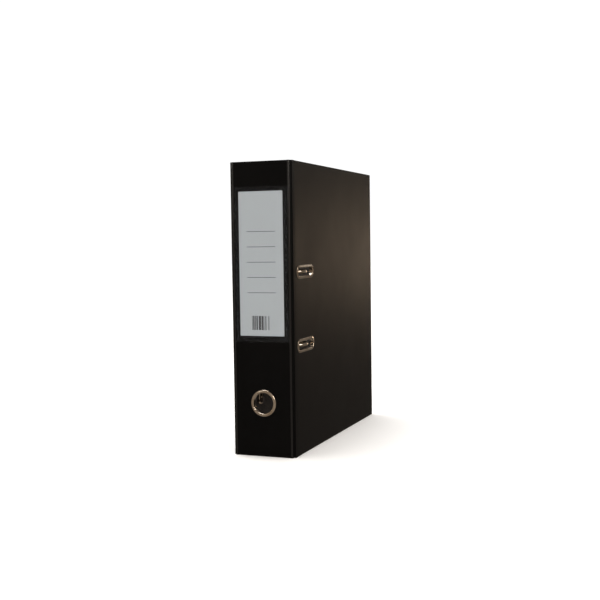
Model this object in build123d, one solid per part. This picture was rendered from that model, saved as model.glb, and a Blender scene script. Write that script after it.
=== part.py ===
from build123d import *
import math
import os

os.makedirs("parts", exist_ok=True)

# A lever-arch file standing upright and closed: three wrapped greyboard panels, a
# finger ring and a label pocket in the spine, two eyelet slots in the front cover,
# and a lever-arch mechanism riveted to the inside of the back cover.
# Millimetres. +Z up along the height, -Y out of the spine, +X out of the front cover.
# "depth" counts from the spine's outer face towards the fore-edge, and "rise" counts
# from the back cover's inner face towards the front cover.

# ---- panels -----------------------------------------------------------------------
HEIGHT = 318.0            # along the spine
DEPTH = 285.0             # spine's outer face to the fore-edge
THICKNESS = 72.0          # outer face to outer face of the covers
BOARD = 2.0               # greyboard
FOIL = 0.3                # outer covering and its turn-ins
LINING = 0.3              # inner paper
TURN_IN = 5.0             # visible turn-in beside the lining
HINGE_CREASE = 0.4        # room in the hinge beyond the panel's thickness
STRIP = 0.6               # thickness of the two bonded sheets in the hinge

# ---- finger ring ------------------------------------------------------------------
RING_HEIGHT = 58.0        # centre above the bottom edge
RING_BORE = 22.5
RING_WALL = 0.7           # neck through the spine
RING_FLANGE = 29.0        # outside diameter of flange and washer
RING_LIP = 0.9            # flange thickness
RING_WASHER = 0.8         # inner washer thickness

# ---- spine label ------------------------------------------------------------------
POCKET_BOTTOM = 124.0
POCKET_SIDE = 5.5         # film beyond the label at each side
POCKET_TOP = 5.0          # film above the label
POCKET_FILM = 0.25
LABEL_WIDTH = 51.0
LABEL_HEIGHT = 155.0
LABEL_CARD = 0.25
LABEL_MARGIN = 7.0        # pocket bottom to label bottom
LABEL_PLAY = 1.5          # room round the label inside the pocket

# ---- punched-paper standard -------------------------------------------------------
ARCH_SPACING = 80.0       # between the two holes of punched paper
MECHANISM_HEIGHT = HEIGHT / 2

# ---- front cover slots ------------------------------------------------------------
SLOT_BEFORE_SHAFT = 3.5   # opening's near end, short of the arch shaft
SLOT_PAST_POST = 1.0      # opening's far end, beyond the posts
SLOT_WIDTH = 9.0
EYELET_WALL = 0.5
EYELET_RIM = 3.0          # flange width round the opening
EYELET_LIP = 0.9          # flange thickness outside
EYELET_WASHER = 0.6       # washer thickness inside
EYELET_PLAY = 0.1         # neck to board

# ---- mechanism --------------------------------------------------------------------
PLATE = 1.0               # base plate sheet
PLATE_FROM_SHAFT = 2.5    # shaft to the plate's spine-side edge
PLATE_PAST_POST = 7.0     # plate beyond the posts
PLATE_HEIGHT = 99.0
PLATE_CORNER = 6.0
WINDOW_INSET = 3.5        # plate edge to window
WINDOW_WIDTH = 25.0
WINDOW_HEIGHT = 24.0
WINDOW_DROP = 6.0         # window centre below the mechanism's centre

ARCH_WIRE = 4.0           # diameter
SHAFT_DEPTH = 18.0
SHAFT_RISE = 7.5
ARCH_SPAN = 41.0          # shaft to post
CROWN_ABOVE = 0.5         # crown top above the front cover's outer face
ARCH_BEND = 5.0           # wire bend between shaft and leg
LUG_GAP = 3.0             # carrier's end to each bearing lug
LUG_LENGTH = 6.0
LUG_WALL = 1.4
SHAFT_PLAY = 0.06         # radial running clearance

POST_DIAMETER = 4.4
POST_COLLAR = 1.4         # collar beyond the post all round
POST_COLLAR_HEIGHT = 1.0
POST_TIP_GAP = 0.3        # arch tip to post
TIP_CONE = 1.0            # height of the arch tip's cone
TIP_FLAT = 0.35           # radius left at the cone's end

RIVET_SHANK = 4.0
RIVET_HEAD = 7.0
RIVET_HEAD_HEIGHT = 1.1
RIVET_OUTER_HEAD = 9.0
RIVET_OUTER_HEIGHT = 0.9
RIVET_FROM_END = 5.5      # plate's end to rivet
RIVET_FROM_EDGE = 7.0     # plate's spine-side edge to rivet
SHANK_PLAY = 0.05

CARRIER_SHEET = 1.2
CARRIER_HALF = 21.0       # half length along the shaft
CARRIER_WALL = 2.0        # sleeve wall round the shaft
CARRIER_END = 1.0         # sleeve beyond the flap's lower edge
CARRIER_WING = 9.0        # shaft to the wing's outer edge
WING_TAPER = 6.3          # slope at each end of the wing
WING_BELOW_SLEEVE = 0.4
CARRIER_FLAP_UNDER = 3.1  # how far the flap reaches under the near roller
CARRIER_FLAP_GAP = 0.6    # flap to roller
CARRIER_PLAY = 0.02       # sleeve to shaft
SPRING_SHEET = 0.7
SPRING_HEIGHT = 4.0
SPRING_BOW = 2.5
SPRING_GAP = 0.4          # carrier sleeve to the spring's ends
SPRING_CHORD = 21.0

LEVER_WIRE = 2.5
LEVER_OFFSET = 0.5        # lever's centre plane beyond the arches' middle
LEVER_RISE = 13.0
LEVER_PIVOT_BELOW = 12.0  # pivot below the mechanism's centre
LEVER_SPREAD = 8.0        # wire centres at the pivot
LEVER_NARROW = 3.4        # wire centres at the grip
LEVER_TAPER_TOP = 11.0    # below the pivot
LEVER_TAPER_END = 25.0
LEVER_LENGTH = 97.0       # pivot to the grip's end
GRIP_LENGTH = 27.0
GRIP_WIDTH = 11.0
GRIP_THICK = 5.0
GRIP_SOCKET = 8.0
GRIP_EYE_LENGTH = 6.0
GRIP_EYE_WIDTH = 3.4
PIVOT_LUG_WIDTH = 4.0
PIVOT_LUG_WALL = 1.5
PIVOT_PLAY = 0.08

ROLLER_BELOW = 7.0        # roller axis below the lever's pivot
ROLLER_DIAMETER = 9.0
ROLLER_PIN = 2.5
ROLLER_PLAY = 0.08
ROLLER_GAP = 0.95         # lever wire to each roller
NEAR_ROLLER_LENGTH = 6.4
FAR_ROLLER_LENGTH = 4.2
PIN_END = 0.5             # pin beyond each roller
PIN_HEAD = 4.4

BAR_LENGTH = 131.0
BAR_WIDTH = 15.0
BAR_SHEET = 2.0
BAR_GAP = 1.0             # post collar to bar
BAR_SHIFT = 9.0           # bar centre above the mechanism's centre
BAR_CORNER = 4.0
BAR_SLIT_LENGTH = 14.0
BAR_SLIT_WIDTH = 2.0
BAR_GROOVE = 0.8
BAR_PLAY = 0.35           # hole to post

# ---- derived places ---------------------------------------------------------------
PANEL = BOARD + FOIL + LINING
HINGE_WIDTH = PANEL + HINGE_CREASE        # strip from spine to cover, each way round the corner
HALF = THICKNESS / 2
BACK_FACE = -HALF + PANEL                 # x of the back cover's inner face
ORIGIN_DEPTH = (DEPTH - RING_LIP) / 2     # depth of the frame's origin
SPINE_HALF = HALF - HINGE_WIDTH
POST_DEPTH = SHAFT_DEPTH + ARCH_SPAN
CROWN_RADIUS = ARCH_SPAN / 2
POCKET_WIDTH = LABEL_WIDTH + 2 * POCKET_SIDE
POCKET_HEIGHT = LABEL_MARGIN + LABEL_HEIGHT + POCKET_TOP
SLOT_START = SHAFT_DEPTH - SLOT_BEFORE_SHAFT
SLOT_LENGTH = ARCH_SPAN + SLOT_BEFORE_SHAFT + SLOT_PAST_POST
PLATE_START = SHAFT_DEPTH + PLATE_FROM_SHAFT
PLATE_END = POST_DEPTH + PLATE_PAST_POST
WINDOW_START = PLATE_START + WINDOW_INSET
RIVET_OFFSET = PLATE_HEIGHT / 2 - RIVET_FROM_END
RIVET_DEPTH = PLATE_START + RIVET_FROM_EDGE
LUG_OFFSET = CARRIER_HALF + LUG_GAP + LUG_LENGTH / 2
SLEEVE_RADIUS = ARCH_WIRE / 2 + CARRIER_WALL
SPRING_START = SHAFT_DEPTH + SLEEVE_RADIUS + SPRING_GAP
LEVER_DEPTH = SHAFT_DEPTH + CROWN_RADIUS + LEVER_OFFSET
ROLLER_RISE = LEVER_RISE - LEVER_WIRE / 2 - ROLLER_PIN / 2
CARRIER_FLAP_RISE = ROLLER_RISE - ROLLER_DIAMETER / 2 - CARRIER_FLAP_GAP - CARRIER_SHEET
ROLLER_SIDE = LEVER_SPREAD / 2 + LEVER_WIRE / 2 + ROLLER_GAP
NEAR_ROLLER = (LEVER_DEPTH - ROLLER_SIDE - NEAR_ROLLER_LENGTH, LEVER_DEPTH - ROLLER_SIDE)
FAR_ROLLER = (LEVER_DEPTH + ROLLER_SIDE, LEVER_DEPTH + ROLLER_SIDE + FAR_ROLLER_LENGTH)
CARRIER_FLAP_END = NEAR_ROLLER[0] + CARRIER_FLAP_UNDER
BAR_RISE = PLATE + POST_COLLAR_HEIGHT + BAR_GAP
CROWN_RISE = THICKNESS - PANEL + CROWN_ABOVE - CROWN_RADIUS - ARCH_WIRE / 2
ARCH_HEIGHTS = (MECHANISM_HEIGHT + ARCH_SPACING / 2, MECHANISM_HEIGHT - ARCH_SPACING / 2)
LEVER_PIVOT = MECHANISM_HEIGHT - LEVER_PIVOT_BELOW
WINDOW_HEIGHT_CENTRE = MECHANISM_HEIGHT - WINDOW_DROP


def y_at(depth):
    """Y of a distance from the spine's outer face."""
    return depth - ORIGIN_DEPTH


def x_at(rise):
    """X of a distance from the back cover's inner face."""
    return BACK_FACE + rise


def block(x, depth, z):
    """Box between three pairs of limits: x, depth and z."""
    size = (x[1] - x[0], depth[1] - depth[0], z[1] - z[0])
    centre = ((x[0] + x[1]) / 2, y_at((depth[0] + depth[1]) / 2), (z[0] + z[1]) / 2)
    return Pos(*centre) * Box(*size)


def rod(start, end, radius):
    """Cylinder between two points given as (x, depth, z)."""
    a = Vector(start[0], y_at(start[1]), start[2])
    b = Vector(end[0], y_at(end[1]), end[2])
    plane = Plane(origin=a, z_dir=(b - a).normalized())
    return plane * Cylinder(radius, (b - a).length, align=(Align.CENTER, Align.CENTER, Align.MIN))


def cone(start, end, start_radius, end_radius):
    """Cone frustum between two points given as (x, depth, z)."""
    a = Vector(start[0], y_at(start[1]), start[2])
    b = Vector(end[0], y_at(end[1]), end[2])
    plane = Plane(origin=a, z_dir=(b - a).normalized())
    middle = (Align.CENTER, Align.CENTER, Align.MIN)
    return plane * Cone(start_radius, end_radius, (b - a).length, align=middle)


def oblong(x, depth, z, corner):
    """Plate between limits whose corners, seen along X, are rounded."""
    size = (depth[1] - depth[0], z[1] - z[0])
    radius = min(corner, min(size) / 2 - 0.01)
    plane = Plane(origin=(x[0], y_at((depth[0] + depth[1]) / 2), (z[0] + z[1]) / 2),
                  x_dir=(0, 1, 0), z_dir=(1, 0, 0))
    return extrude(plane * RectangleRounded(*size, radius), x[1] - x[0])


def save(name, shape):
    """Write one node's STEP file."""
    export_step(shape, f"parts/{name}.step")


# ---- covers -----------------------------------------------------------------------
def cover_panel(side):
    """Board, outer foil, turn-in strips and lining of one cover; side is +1 front, -1 back."""
    def across(near, far):
        limits = sorted((side * (HALF - near), side * (HALF - far)))
        return tuple(limits)

    board = block(across(FOIL, FOIL + BOARD), (HINGE_WIDTH, DEPTH - FOIL), (FOIL, HEIGHT - FOIL))
    foil = block(across(0, FOIL), (HINGE_WIDTH, DEPTH - FOIL), (FOIL, HEIGHT - FOIL))
    inner = across(PANEL - LINING, PANEL)
    lining = block(inner, (HINGE_WIDTH, DEPTH - TURN_IN), (TURN_IN, HEIGHT - TURN_IN))
    edge = across(0, PANEL)
    bottom = block(edge, (HINGE_WIDTH, DEPTH), (0, FOIL))
    bottom += block(inner, (HINGE_WIDTH, DEPTH - TURN_IN), (FOIL, TURN_IN))
    top = block(edge, (HINGE_WIDTH, DEPTH), (HEIGHT - FOIL, HEIGHT))
    top += block(inner, (HINGE_WIDTH, DEPTH - TURN_IN), (HEIGHT - TURN_IN, HEIGHT - FOIL))
    fore = block(edge, (DEPTH - FOIL, DEPTH), (FOIL, HEIGHT - FOIL))
    fore += block(inner, (DEPTH - TURN_IN, DEPTH - FOIL), (FOIL, HEIGHT - FOIL))
    return {"board": board, "covering": foil, "turn_in": (bottom, top, fore), "lining": lining}


def spine_panel():
    """Board, outer foil, turn-in strips and lining of the spine, pierced for the finger ring."""
    across = (-SPINE_HALF, SPINE_HALF)
    hole = rod((0, -1, RING_HEIGHT), (0, PANEL + 1, RING_HEIGHT),
               RING_BORE / 2 + RING_WALL + EYELET_PLAY)
    board = block(across, (FOIL, FOIL + BOARD), (FOIL, HEIGHT - FOIL)) - hole
    foil = block(across, (0, FOIL), (FOIL, HEIGHT - FOIL)) - hole
    lining = block(across, (PANEL - LINING, PANEL), (TURN_IN, HEIGHT - TURN_IN)) - hole
    bottom = block(across, (0, PANEL), (0, FOIL))
    bottom += block(across, (PANEL - LINING, PANEL), (FOIL, TURN_IN))
    top = block(across, (0, PANEL), (HEIGHT - FOIL, HEIGHT))
    top += block(across, (PANEL - LINING, PANEL), (HEIGHT - TURN_IN, HEIGHT - FOIL))
    return {"board": board, "covering": foil, "turn_in": (bottom, top), "lining": lining}


def slot_hole(height, margin):
    """Through cut of a front cover slot, enlarged by a margin."""
    limits = (SLOT_START - margin, SLOT_START + SLOT_LENGTH + margin)
    half = SLOT_WIDTH / 2 + margin
    return oblong((HALF - PANEL - 5, HALF + 5), limits, (height - half, height + half), half)


def shank_holes():
    """Through cuts in the back cover for the mechanism's rivets and posts."""
    places = [(RIVET_DEPTH, MECHANISM_HEIGHT + s * RIVET_OFFSET) for s in (1, -1)]
    places += [(POST_DEPTH, z) for z in ARCH_HEIGHTS]
    radius = RIVET_SHANK / 2 + SHANK_PLAY
    return [rod((-HALF - 1, d, z), (BACK_FACE + PLATE + 1, d, z), radius) for d, z in places]


def hinge_strip(side):
    """Quarter-round strip of bonded foil and lining from spine edge to cover edge."""
    centre = (side * SPINE_HALF, y_at(HINGE_WIDTH))
    ring = Circle(HINGE_WIDTH) - Circle(HINGE_WIDTH - STRIP)
    quarter = Pos(side * HINGE_WIDTH / 2, -HINGE_WIDTH / 2) * Rectangle(HINGE_WIDTH, HINGE_WIDTH)
    return extrude(Pos(centre[0], centre[1], FOIL) * (ring & quarter), HEIGHT - 2 * FOIL)


panels = {"back": cover_panel(-1), "spine": spine_panel(), "front": cover_panel(1)}
neck = EYELET_WALL + EYELET_PLAY
for layer in ("board", "covering", "lining"):
    for height in ARCH_HEIGHTS:
        panels["front"][layer] -= slot_hole(height, neck)
    for hole in shank_holes():
        panels["back"][layer] -= hole
for panel, layers in panels.items():
    save(f"{panel}_board", layers["board"])
    save(f"{panel}_covering", layers["covering"])
    save(f"{panel}_turn_in", Compound(children=list(layers["turn_in"])))
    save(f"{panel}_lining", layers["lining"])
save("front_hinge_strip", hinge_strip(1))
save("back_hinge_strip", hinge_strip(-1))


# ---- finger ring, label -----------------------------------------------------------
def finger_ring():
    """Flanged eyelet: flange on the outside, neck through the spine and its washer."""
    inner_end = PANEL + RING_WASHER
    flange = rod((0, -RING_LIP, RING_HEIGHT), (0, 0, RING_HEIGHT), RING_FLANGE / 2)
    flange = fillet(flange.edges().group_by(Axis.Y)[0], RING_LIP * 0.6)
    neck_tube = rod((0, -RING_LIP, RING_HEIGHT), (0, inner_end, RING_HEIGHT), RING_BORE / 2 + RING_WALL)
    bore = rod((0, -RING_LIP - 1, RING_HEIGHT), (0, inner_end + 1, RING_HEIGHT), RING_BORE / 2)
    return flange + neck_tube - bore


def finger_ring_washer():
    """Flat washer that closes the ring on the spine's inner face."""
    disc = rod((0, PANEL, RING_HEIGHT), (0, PANEL + RING_WASHER, RING_HEIGHT), RING_FLANGE / 2)
    disc = fillet(disc.edges().group_by(Axis.Y)[-1], RING_WASHER * 0.5)
    hole = rod((0, PANEL - 1, RING_HEIGHT), (0, PANEL + RING_WASHER + 1, RING_HEIGHT),
               RING_BORE / 2 + RING_WALL + EYELET_PLAY)
    return disc - hole


def label_pocket():
    """Clear film welded to the spine round three sides, open at the top for the label."""
    half = POCKET_WIDTH / 2
    top = POCKET_BOTTOM + POCKET_HEIGHT
    outer = block((-half, half), (-LABEL_CARD - POCKET_FILM, 0), (POCKET_BOTTOM, top))
    room = LABEL_WIDTH / 2 + LABEL_PLAY
    label_bottom = POCKET_BOTTOM + LABEL_MARGIN
    space = block((-room, room), (-LABEL_CARD, 1), (label_bottom - LABEL_PLAY, top + 1))
    return outer - space


def label_insert():
    """Printed card behind the film."""
    half = LABEL_WIDTH / 2
    bottom = POCKET_BOTTOM + LABEL_MARGIN
    return block((-half, half), (-LABEL_CARD, 0), (bottom, bottom + LABEL_HEIGHT))


save("finger_ring", finger_ring())
save("finger_ring_washer", finger_ring_washer())
save("label_pocket", label_pocket())
save("label_insert", label_insert())


# ---- front cover eyelets ----------------------------------------------------------
def slot_plate(x, height, margin):
    """Rounded plate centred on a slot and larger than its opening by a margin."""
    half = SLOT_WIDTH / 2 + margin
    limits = (SLOT_START - margin, SLOT_START + SLOT_LENGTH + margin)
    return oblong(x, limits, (height - half, height + half), half)


def slot_eyelet(height):
    """Outer flange and neck of one metal slot eyelet."""
    flange = slot_plate((HALF, HALF + EYELET_LIP), height, EYELET_RIM)
    flange = fillet(flange.edges().group_by(Axis.X)[-1], EYELET_LIP * 0.6)
    tube = slot_plate((HALF - PANEL - EYELET_WASHER, HALF + EYELET_LIP), height, EYELET_WALL)
    return flange + tube - slot_hole(height, 0)


def slot_washer(height):
    """Inner frame that closes one eyelet on the front cover's lining."""
    frame = slot_plate((HALF - PANEL - EYELET_WASHER, HALF - PANEL), height, EYELET_RIM)
    return frame - slot_hole(height, neck)


for name, height in zip(("upper", "lower"), ARCH_HEIGHTS):
    save(f"{name}_slot_eyelet", slot_eyelet(height))
    save(f"{name}_slot_washer", slot_washer(height))


# ---- base plate, rivets and posts -------------------------------------------------
def bearing_lug(centre):
    """Curled lug of the base plate round the arch shaft."""
    limits = (centre - LUG_LENGTH / 2, centre + LUG_LENGTH / 2)
    radius = ARCH_WIRE / 2 + SHAFT_PLAY + LUG_WALL
    x = x_at(SHAFT_RISE)
    foot = block((x_at(0), x_at(PLATE)), (SHAFT_DEPTH - radius, PLATE_START + 1), limits)
    stem = block((x_at(0), x), (SHAFT_DEPTH - radius, SHAFT_DEPTH + radius), limits)
    curl = rod((x, SHAFT_DEPTH, limits[0]), (x, SHAFT_DEPTH, limits[1]), radius)
    bore = rod((x, SHAFT_DEPTH, limits[0] - 1), (x, SHAFT_DEPTH, limits[1] + 1),
               ARCH_WIRE / 2 + SHAFT_PLAY)
    return foot + stem + curl - bore


def pivot_lug(window_edge):
    """Tongue of the base plate that reaches into the window and curls round the cross wire."""
    half = PIVOT_LUG_WIDTH / 2
    depth = (LEVER_DEPTH - half, LEVER_DEPTH + half)
    x = x_at(LEVER_RISE)
    radius = LEVER_WIRE / 2 + PIVOT_PLAY + PIVOT_LUG_WALL
    foot = block((x_at(0), x_at(PLATE)), depth, (window_edge - 1, LEVER_PIVOT))
    stem = block((x_at(0), x), depth, (LEVER_PIVOT - radius, LEVER_PIVOT + radius))
    curl = rod((x, depth[0], LEVER_PIVOT), (x, depth[1], LEVER_PIVOT), radius)
    bore = rod((x, depth[0] - 1, LEVER_PIVOT), (x, depth[1] + 1, LEVER_PIVOT),
               LEVER_WIRE / 2 + PIVOT_PLAY)
    return foot + stem + curl - bore


def base_plate():
    """Pressed steel plate with a window, bearing lugs for the shaft and a lug for the lever."""
    half = PLATE_HEIGHT / 2
    sheet = oblong((x_at(0), x_at(PLATE)), (PLATE_START, PLATE_END),
                   (MECHANISM_HEIGHT - half, MECHANISM_HEIGHT + half), PLATE_CORNER)
    for direction in (1, -1):
        sheet += bearing_lug(MECHANISM_HEIGHT + direction * LUG_OFFSET)
    low = WINDOW_HEIGHT_CENTRE - WINDOW_HEIGHT / 2
    sheet -= oblong((x_at(-1), x_at(PLATE + 1)), (WINDOW_START, WINDOW_START + WINDOW_WIDTH),
                    (low, low + WINDOW_HEIGHT), 2.0)
    sheet += pivot_lug(low)
    for hole in shank_holes():
        sheet -= hole
    return sheet


def outer_head(depth, height):
    """Domed head on the back cover's outer face."""
    disc = rod((-HALF - RIVET_OUTER_HEIGHT, depth, height), (-HALF, depth, height), RIVET_OUTER_HEAD / 2)
    return fillet(disc.edges().group_by(Axis.X)[0], RIVET_OUTER_HEIGHT * 0.7)


def rivet(height):
    """Rivet through the back cover and the base plate."""
    shank = rod((-HALF, RIVET_DEPTH, height), (x_at(PLATE), RIVET_DEPTH, height), RIVET_SHANK / 2)
    top = x_at(PLATE + RIVET_HEAD_HEIGHT)
    head = rod((x_at(PLATE), RIVET_DEPTH, height), (top, RIVET_DEPTH, height), RIVET_HEAD / 2)
    head = fillet(head.edges().group_by(Axis.X)[-1], RIVET_HEAD_HEIGHT * 0.7)
    return shank + head + outer_head(RIVET_DEPTH, height)


def post(height):
    """Fixed post: riveted foot, collar, straight pin and a dimpled top for the arch tip."""
    top = CROWN_RISE - POST_TIP_GAP - TIP_CONE
    shank = rod((-HALF, POST_DEPTH, height), (x_at(PLATE), POST_DEPTH, height), RIVET_SHANK / 2)
    collar = rod((x_at(PLATE), POST_DEPTH, height),
                 (x_at(PLATE + POST_COLLAR_HEIGHT), POST_DEPTH, height),
                 POST_DIAMETER / 2 + POST_COLLAR)
    pin = rod((x_at(PLATE), POST_DEPTH, height), (x_at(top), POST_DEPTH, height), POST_DIAMETER / 2)
    mouth = POST_DIAMETER / 2 - 0.25
    dimple = cone((x_at(top), POST_DEPTH, height), (x_at(top - TIP_CONE), POST_DEPTH, height),
                  mouth, TIP_FLAT)
    return shank + collar + pin + outer_head(POST_DEPTH, height) - dimple


save("base_plate", base_plate())
rivets = [rivet(MECHANISM_HEIGHT + s * RIVET_OFFSET) for s in (1, -1)]
save("mechanism_rivets", Compound(children=rivets))
for name, height in zip(("upper", "lower"), ARCH_HEIGHTS):
    save(f"{name}_post", post(height))


# ---- swinging arches --------------------------------------------------------------
def arch_wire():
    """One bent wire: tip, crown and leg of each arch, joined by the shaft between them."""
    shaft_x = x_at(SHAFT_RISE)
    crown_x = x_at(CROWN_RISE)
    tip_x = x_at(CROWN_RISE - TIP_CONE)
    top_x = crown_x + CROWN_RADIUS
    shaft_y = y_at(SHAFT_DEPTH)
    post_y = y_at(POST_DEPTH)
    mid_y = (shaft_y + post_y) / 2
    high, low = ARCH_HEIGHTS
    diagonal = ARCH_BEND * (1 - math.sqrt(0.5))
    path = [
        Line((tip_x, post_y, high), (crown_x, post_y, high)),
        ThreePointArc((crown_x, post_y, high), (top_x, mid_y, high), (crown_x, shaft_y, high)),
        Line((crown_x, shaft_y, high), (shaft_x + ARCH_BEND, shaft_y, high)),
        ThreePointArc((shaft_x + ARCH_BEND, shaft_y, high),
                      (shaft_x + diagonal, shaft_y, high - diagonal),
                      (shaft_x, shaft_y, high - ARCH_BEND)),
        Line((shaft_x, shaft_y, high - ARCH_BEND), (shaft_x, shaft_y, low + ARCH_BEND)),
        ThreePointArc((shaft_x, shaft_y, low + ARCH_BEND),
                      (shaft_x + diagonal, shaft_y, low + diagonal),
                      (shaft_x + ARCH_BEND, shaft_y, low)),
        Line((shaft_x + ARCH_BEND, shaft_y, low), (crown_x, shaft_y, low)),
        ThreePointArc((crown_x, shaft_y, low), (top_x, mid_y, low), (crown_x, post_y, low)),
        Line((crown_x, post_y, low), (tip_x, post_y, low)),
    ]
    radius = ARCH_WIRE / 2
    section = Plane(origin=(tip_x, post_y, high), z_dir=(1, 0, 0)) * Circle(radius)
    wire = sweep(section, path=Wire([piece.edge() for piece in path]))
    for height in ARCH_HEIGHTS:
        wire += cone((tip_x, POST_DEPTH, height), (tip_x - TIP_CONE, POST_DEPTH, height),
                     radius, TIP_FLAT)
    return wire


def arch_carrier():
    """Sheet carrier clamped on the shaft: a trapezoid wing and a flap under the near roller."""
    low = MECHANISM_HEIGHT - CARRIER_HALF
    high = MECHANISM_HEIGHT + CARRIER_HALF
    x = x_at(SHAFT_RISE)
    sleeve = rod((x, SHAFT_DEPTH, low), (x, SHAFT_DEPTH, high), SLEEVE_RADIUS)
    wing_x = x_at(SHAFT_RISE + SLEEVE_RADIUS - CARRIER_SHEET - WING_BELOW_SLEEVE)
    wing_depth = SHAFT_DEPTH - CARRIER_WING
    wing = Plane.YZ.offset(wing_x) * Polygon(
        (y_at(SHAFT_DEPTH), low), (y_at(wing_depth), low + WING_TAPER),
        (y_at(wing_depth), high - WING_TAPER), (y_at(SHAFT_DEPTH), high), align=None)
    window = (low + CARRIER_END, WINDOW_HEIGHT_CENTRE + WINDOW_HEIGHT / 2)
    flap_x = (x_at(CARRIER_FLAP_RISE), x_at(CARRIER_FLAP_RISE + CARRIER_SHEET))
    flap = block(flap_x, (SHAFT_DEPTH, CARRIER_FLAP_END), window)
    bore = rod((x, SHAFT_DEPTH, low - 1), (x, SHAFT_DEPTH, high + 1), ARCH_WIRE / 2 + CARRIER_PLAY)
    return sleeve + extrude(wing, CARRIER_SHEET) + flap - bore


def leaf_spring():
    """Bowed leaf standing on the carrier's flap."""
    base = CARRIER_FLAP_RISE + CARRIER_SHEET
    half = SPRING_CHORD / 2
    low = WINDOW_HEIGHT_CENTRE - half
    high = WINDOW_HEIGHT_CENTRE + half
    y = y_at(SPRING_START)
    inner = ThreePointArc((y, low), (y + SPRING_BOW, WINDOW_HEIGHT_CENTRE), (y, high))
    outer = ThreePointArc((y + SPRING_SHEET, high),
                          (y + SPRING_SHEET + SPRING_BOW, WINDOW_HEIGHT_CENTRE),
                          (y + SPRING_SHEET, low))
    ends = [Line((y, high), (y + SPRING_SHEET, high)), Line((y + SPRING_SHEET, low), (y, low))]
    face = make_face([inner, ends[0], outer, ends[1]])
    return extrude(Plane.YZ.offset(x_at(base)) * face, SPRING_HEIGHT)


save("arch_wire", arch_wire())
save("arch_carrier", arch_carrier())
save("leaf_spring", leaf_spring())


# ---- lever ------------------------------------------------------------------------
def lever_wire():
    """Hairpin wire: cross wire in the pivot lug, two legs that close up towards the grip."""
    end = LEVER_PIVOT - LEVER_LENGTH + GRIP_LENGTH - GRIP_SOCKET
    wide = LEVER_SPREAD / 2
    narrow = LEVER_NARROW / 2
    side = [(narrow, end), (narrow, LEVER_PIVOT - LEVER_TAPER_END),
            (wide, LEVER_PIVOT - LEVER_TAPER_TOP), (wide, LEVER_PIVOT)]
    outline = [(-w, z) for w, z in side] + [(w, z) for w, z in reversed(side)]
    x = x_at(LEVER_RISE)
    points = [(x, y_at(LEVER_DEPTH + w), z) for w, z in outline]
    soft = 12.0
    tight = LEVER_WIRE / 2 + 0.35
    path = FilletPolyline(*points, radius=[soft, soft, tight, tight, soft, soft])
    section = Plane(origin=points[0], z_dir=(0, 0, 1)) * Circle(LEVER_WIRE / 2)
    return sweep(section, path=path)


def lever_grip():
    """Rounded finger grip with an eye and two sockets for the wire's ends."""
    low = LEVER_PIVOT - LEVER_LENGTH
    x = x_at(LEVER_RISE)
    limits = (x - GRIP_THICK / 2, x + GRIP_THICK / 2)
    half = GRIP_WIDTH / 2
    grip = oblong(limits, (LEVER_DEPTH - half, LEVER_DEPTH + half), (low, low + GRIP_LENGTH), half)
    grip = fillet(grip.edges().group_by(Axis.X)[0] + grip.edges().group_by(Axis.X)[-1],
                  GRIP_THICK * 0.3)
    eye_top = low + GRIP_LENGTH - GRIP_SOCKET - 1.5
    eye_half = GRIP_EYE_WIDTH / 2
    grip -= oblong((limits[0] - 1, limits[1] + 1), (LEVER_DEPTH - eye_half, LEVER_DEPTH + eye_half),
                   (eye_top - GRIP_EYE_LENGTH, eye_top), eye_half)
    for direction in (1, -1):
        depth = LEVER_DEPTH + direction * LEVER_NARROW / 2
        top = low + GRIP_LENGTH
        grip -= rod((x, depth, top - GRIP_SOCKET), (x, depth, top + 1), LEVER_WIRE / 2 + 0.02)
    return grip


ROLLER_AXIS = (x_at(ROLLER_RISE), LEVER_PIVOT - ROLLER_BELOW)


def roller_pin():
    """Cross pin welded under the lever's legs, with a head beyond each roller."""
    x, z = ROLLER_AXIS
    start = NEAR_ROLLER[0] - PIN_END
    end = FAR_ROLLER[1] + PIN_END
    pin = rod((x, start, z), (x, end, z), ROLLER_PIN / 2)
    pin += rod((x, start, z), (x, start + PIN_END - 0.1, z), PIN_HEAD / 2)
    pin += rod((x, end - PIN_END + 0.1, z), (x, end, z), PIN_HEAD / 2)
    return pin


def roller(limits):
    """Plastic roller running on the cross pin."""
    x, z = ROLLER_AXIS
    drum = rod((x, limits[0], z), (x, limits[1], z), ROLLER_DIAMETER / 2)
    drum = fillet(drum.edges(), 0.5)
    return drum - rod((x, limits[0] - 1, z), (x, limits[1] + 1, z), ROLLER_PIN / 2 + ROLLER_PLAY)


save("lever_wire", lever_wire())
save("lever_grip", lever_grip())
save("roller_pin", roller_pin())
save("near_roller", roller(NEAR_ROLLER))
save("far_roller", roller(FAR_ROLLER))


# ---- compressor bar ---------------------------------------------------------------
def compressor_bar():
    """Flat bar that slides on the posts and holds the paper down."""
    centre = MECHANISM_HEIGHT + BAR_SHIFT
    x = (x_at(BAR_RISE), x_at(BAR_RISE + BAR_SHEET))
    half = BAR_WIDTH / 2
    bar = oblong(x, (POST_DEPTH - half, POST_DEPTH + half),
                 (centre - BAR_LENGTH / 2, centre + BAR_LENGTH / 2), BAR_CORNER)
    for height in ARCH_HEIGHTS:
        bar -= rod((x[0] - 1, POST_DEPTH, height), (x[1] + 1, POST_DEPTH, height),
                   POST_DIAMETER / 2 + BAR_PLAY)
        slit = BAR_SLIT_WIDTH / 2
        bar -= block((x[0] - 1, x[1] + 1), (POST_DEPTH - slit, POST_DEPTH + slit),
                     (height, height + POST_DIAMETER / 2 + BAR_SLIT_LENGTH))
    groove = BAR_GROOVE / 2
    bar -= block((x[1] - groove, x[1] + 1), (POST_DEPTH - half - 1, POST_DEPTH + half + 1),
                 (centre - groove, centre + groove))
    return bar


save("compressor_bar", compressor_bar())
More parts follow.
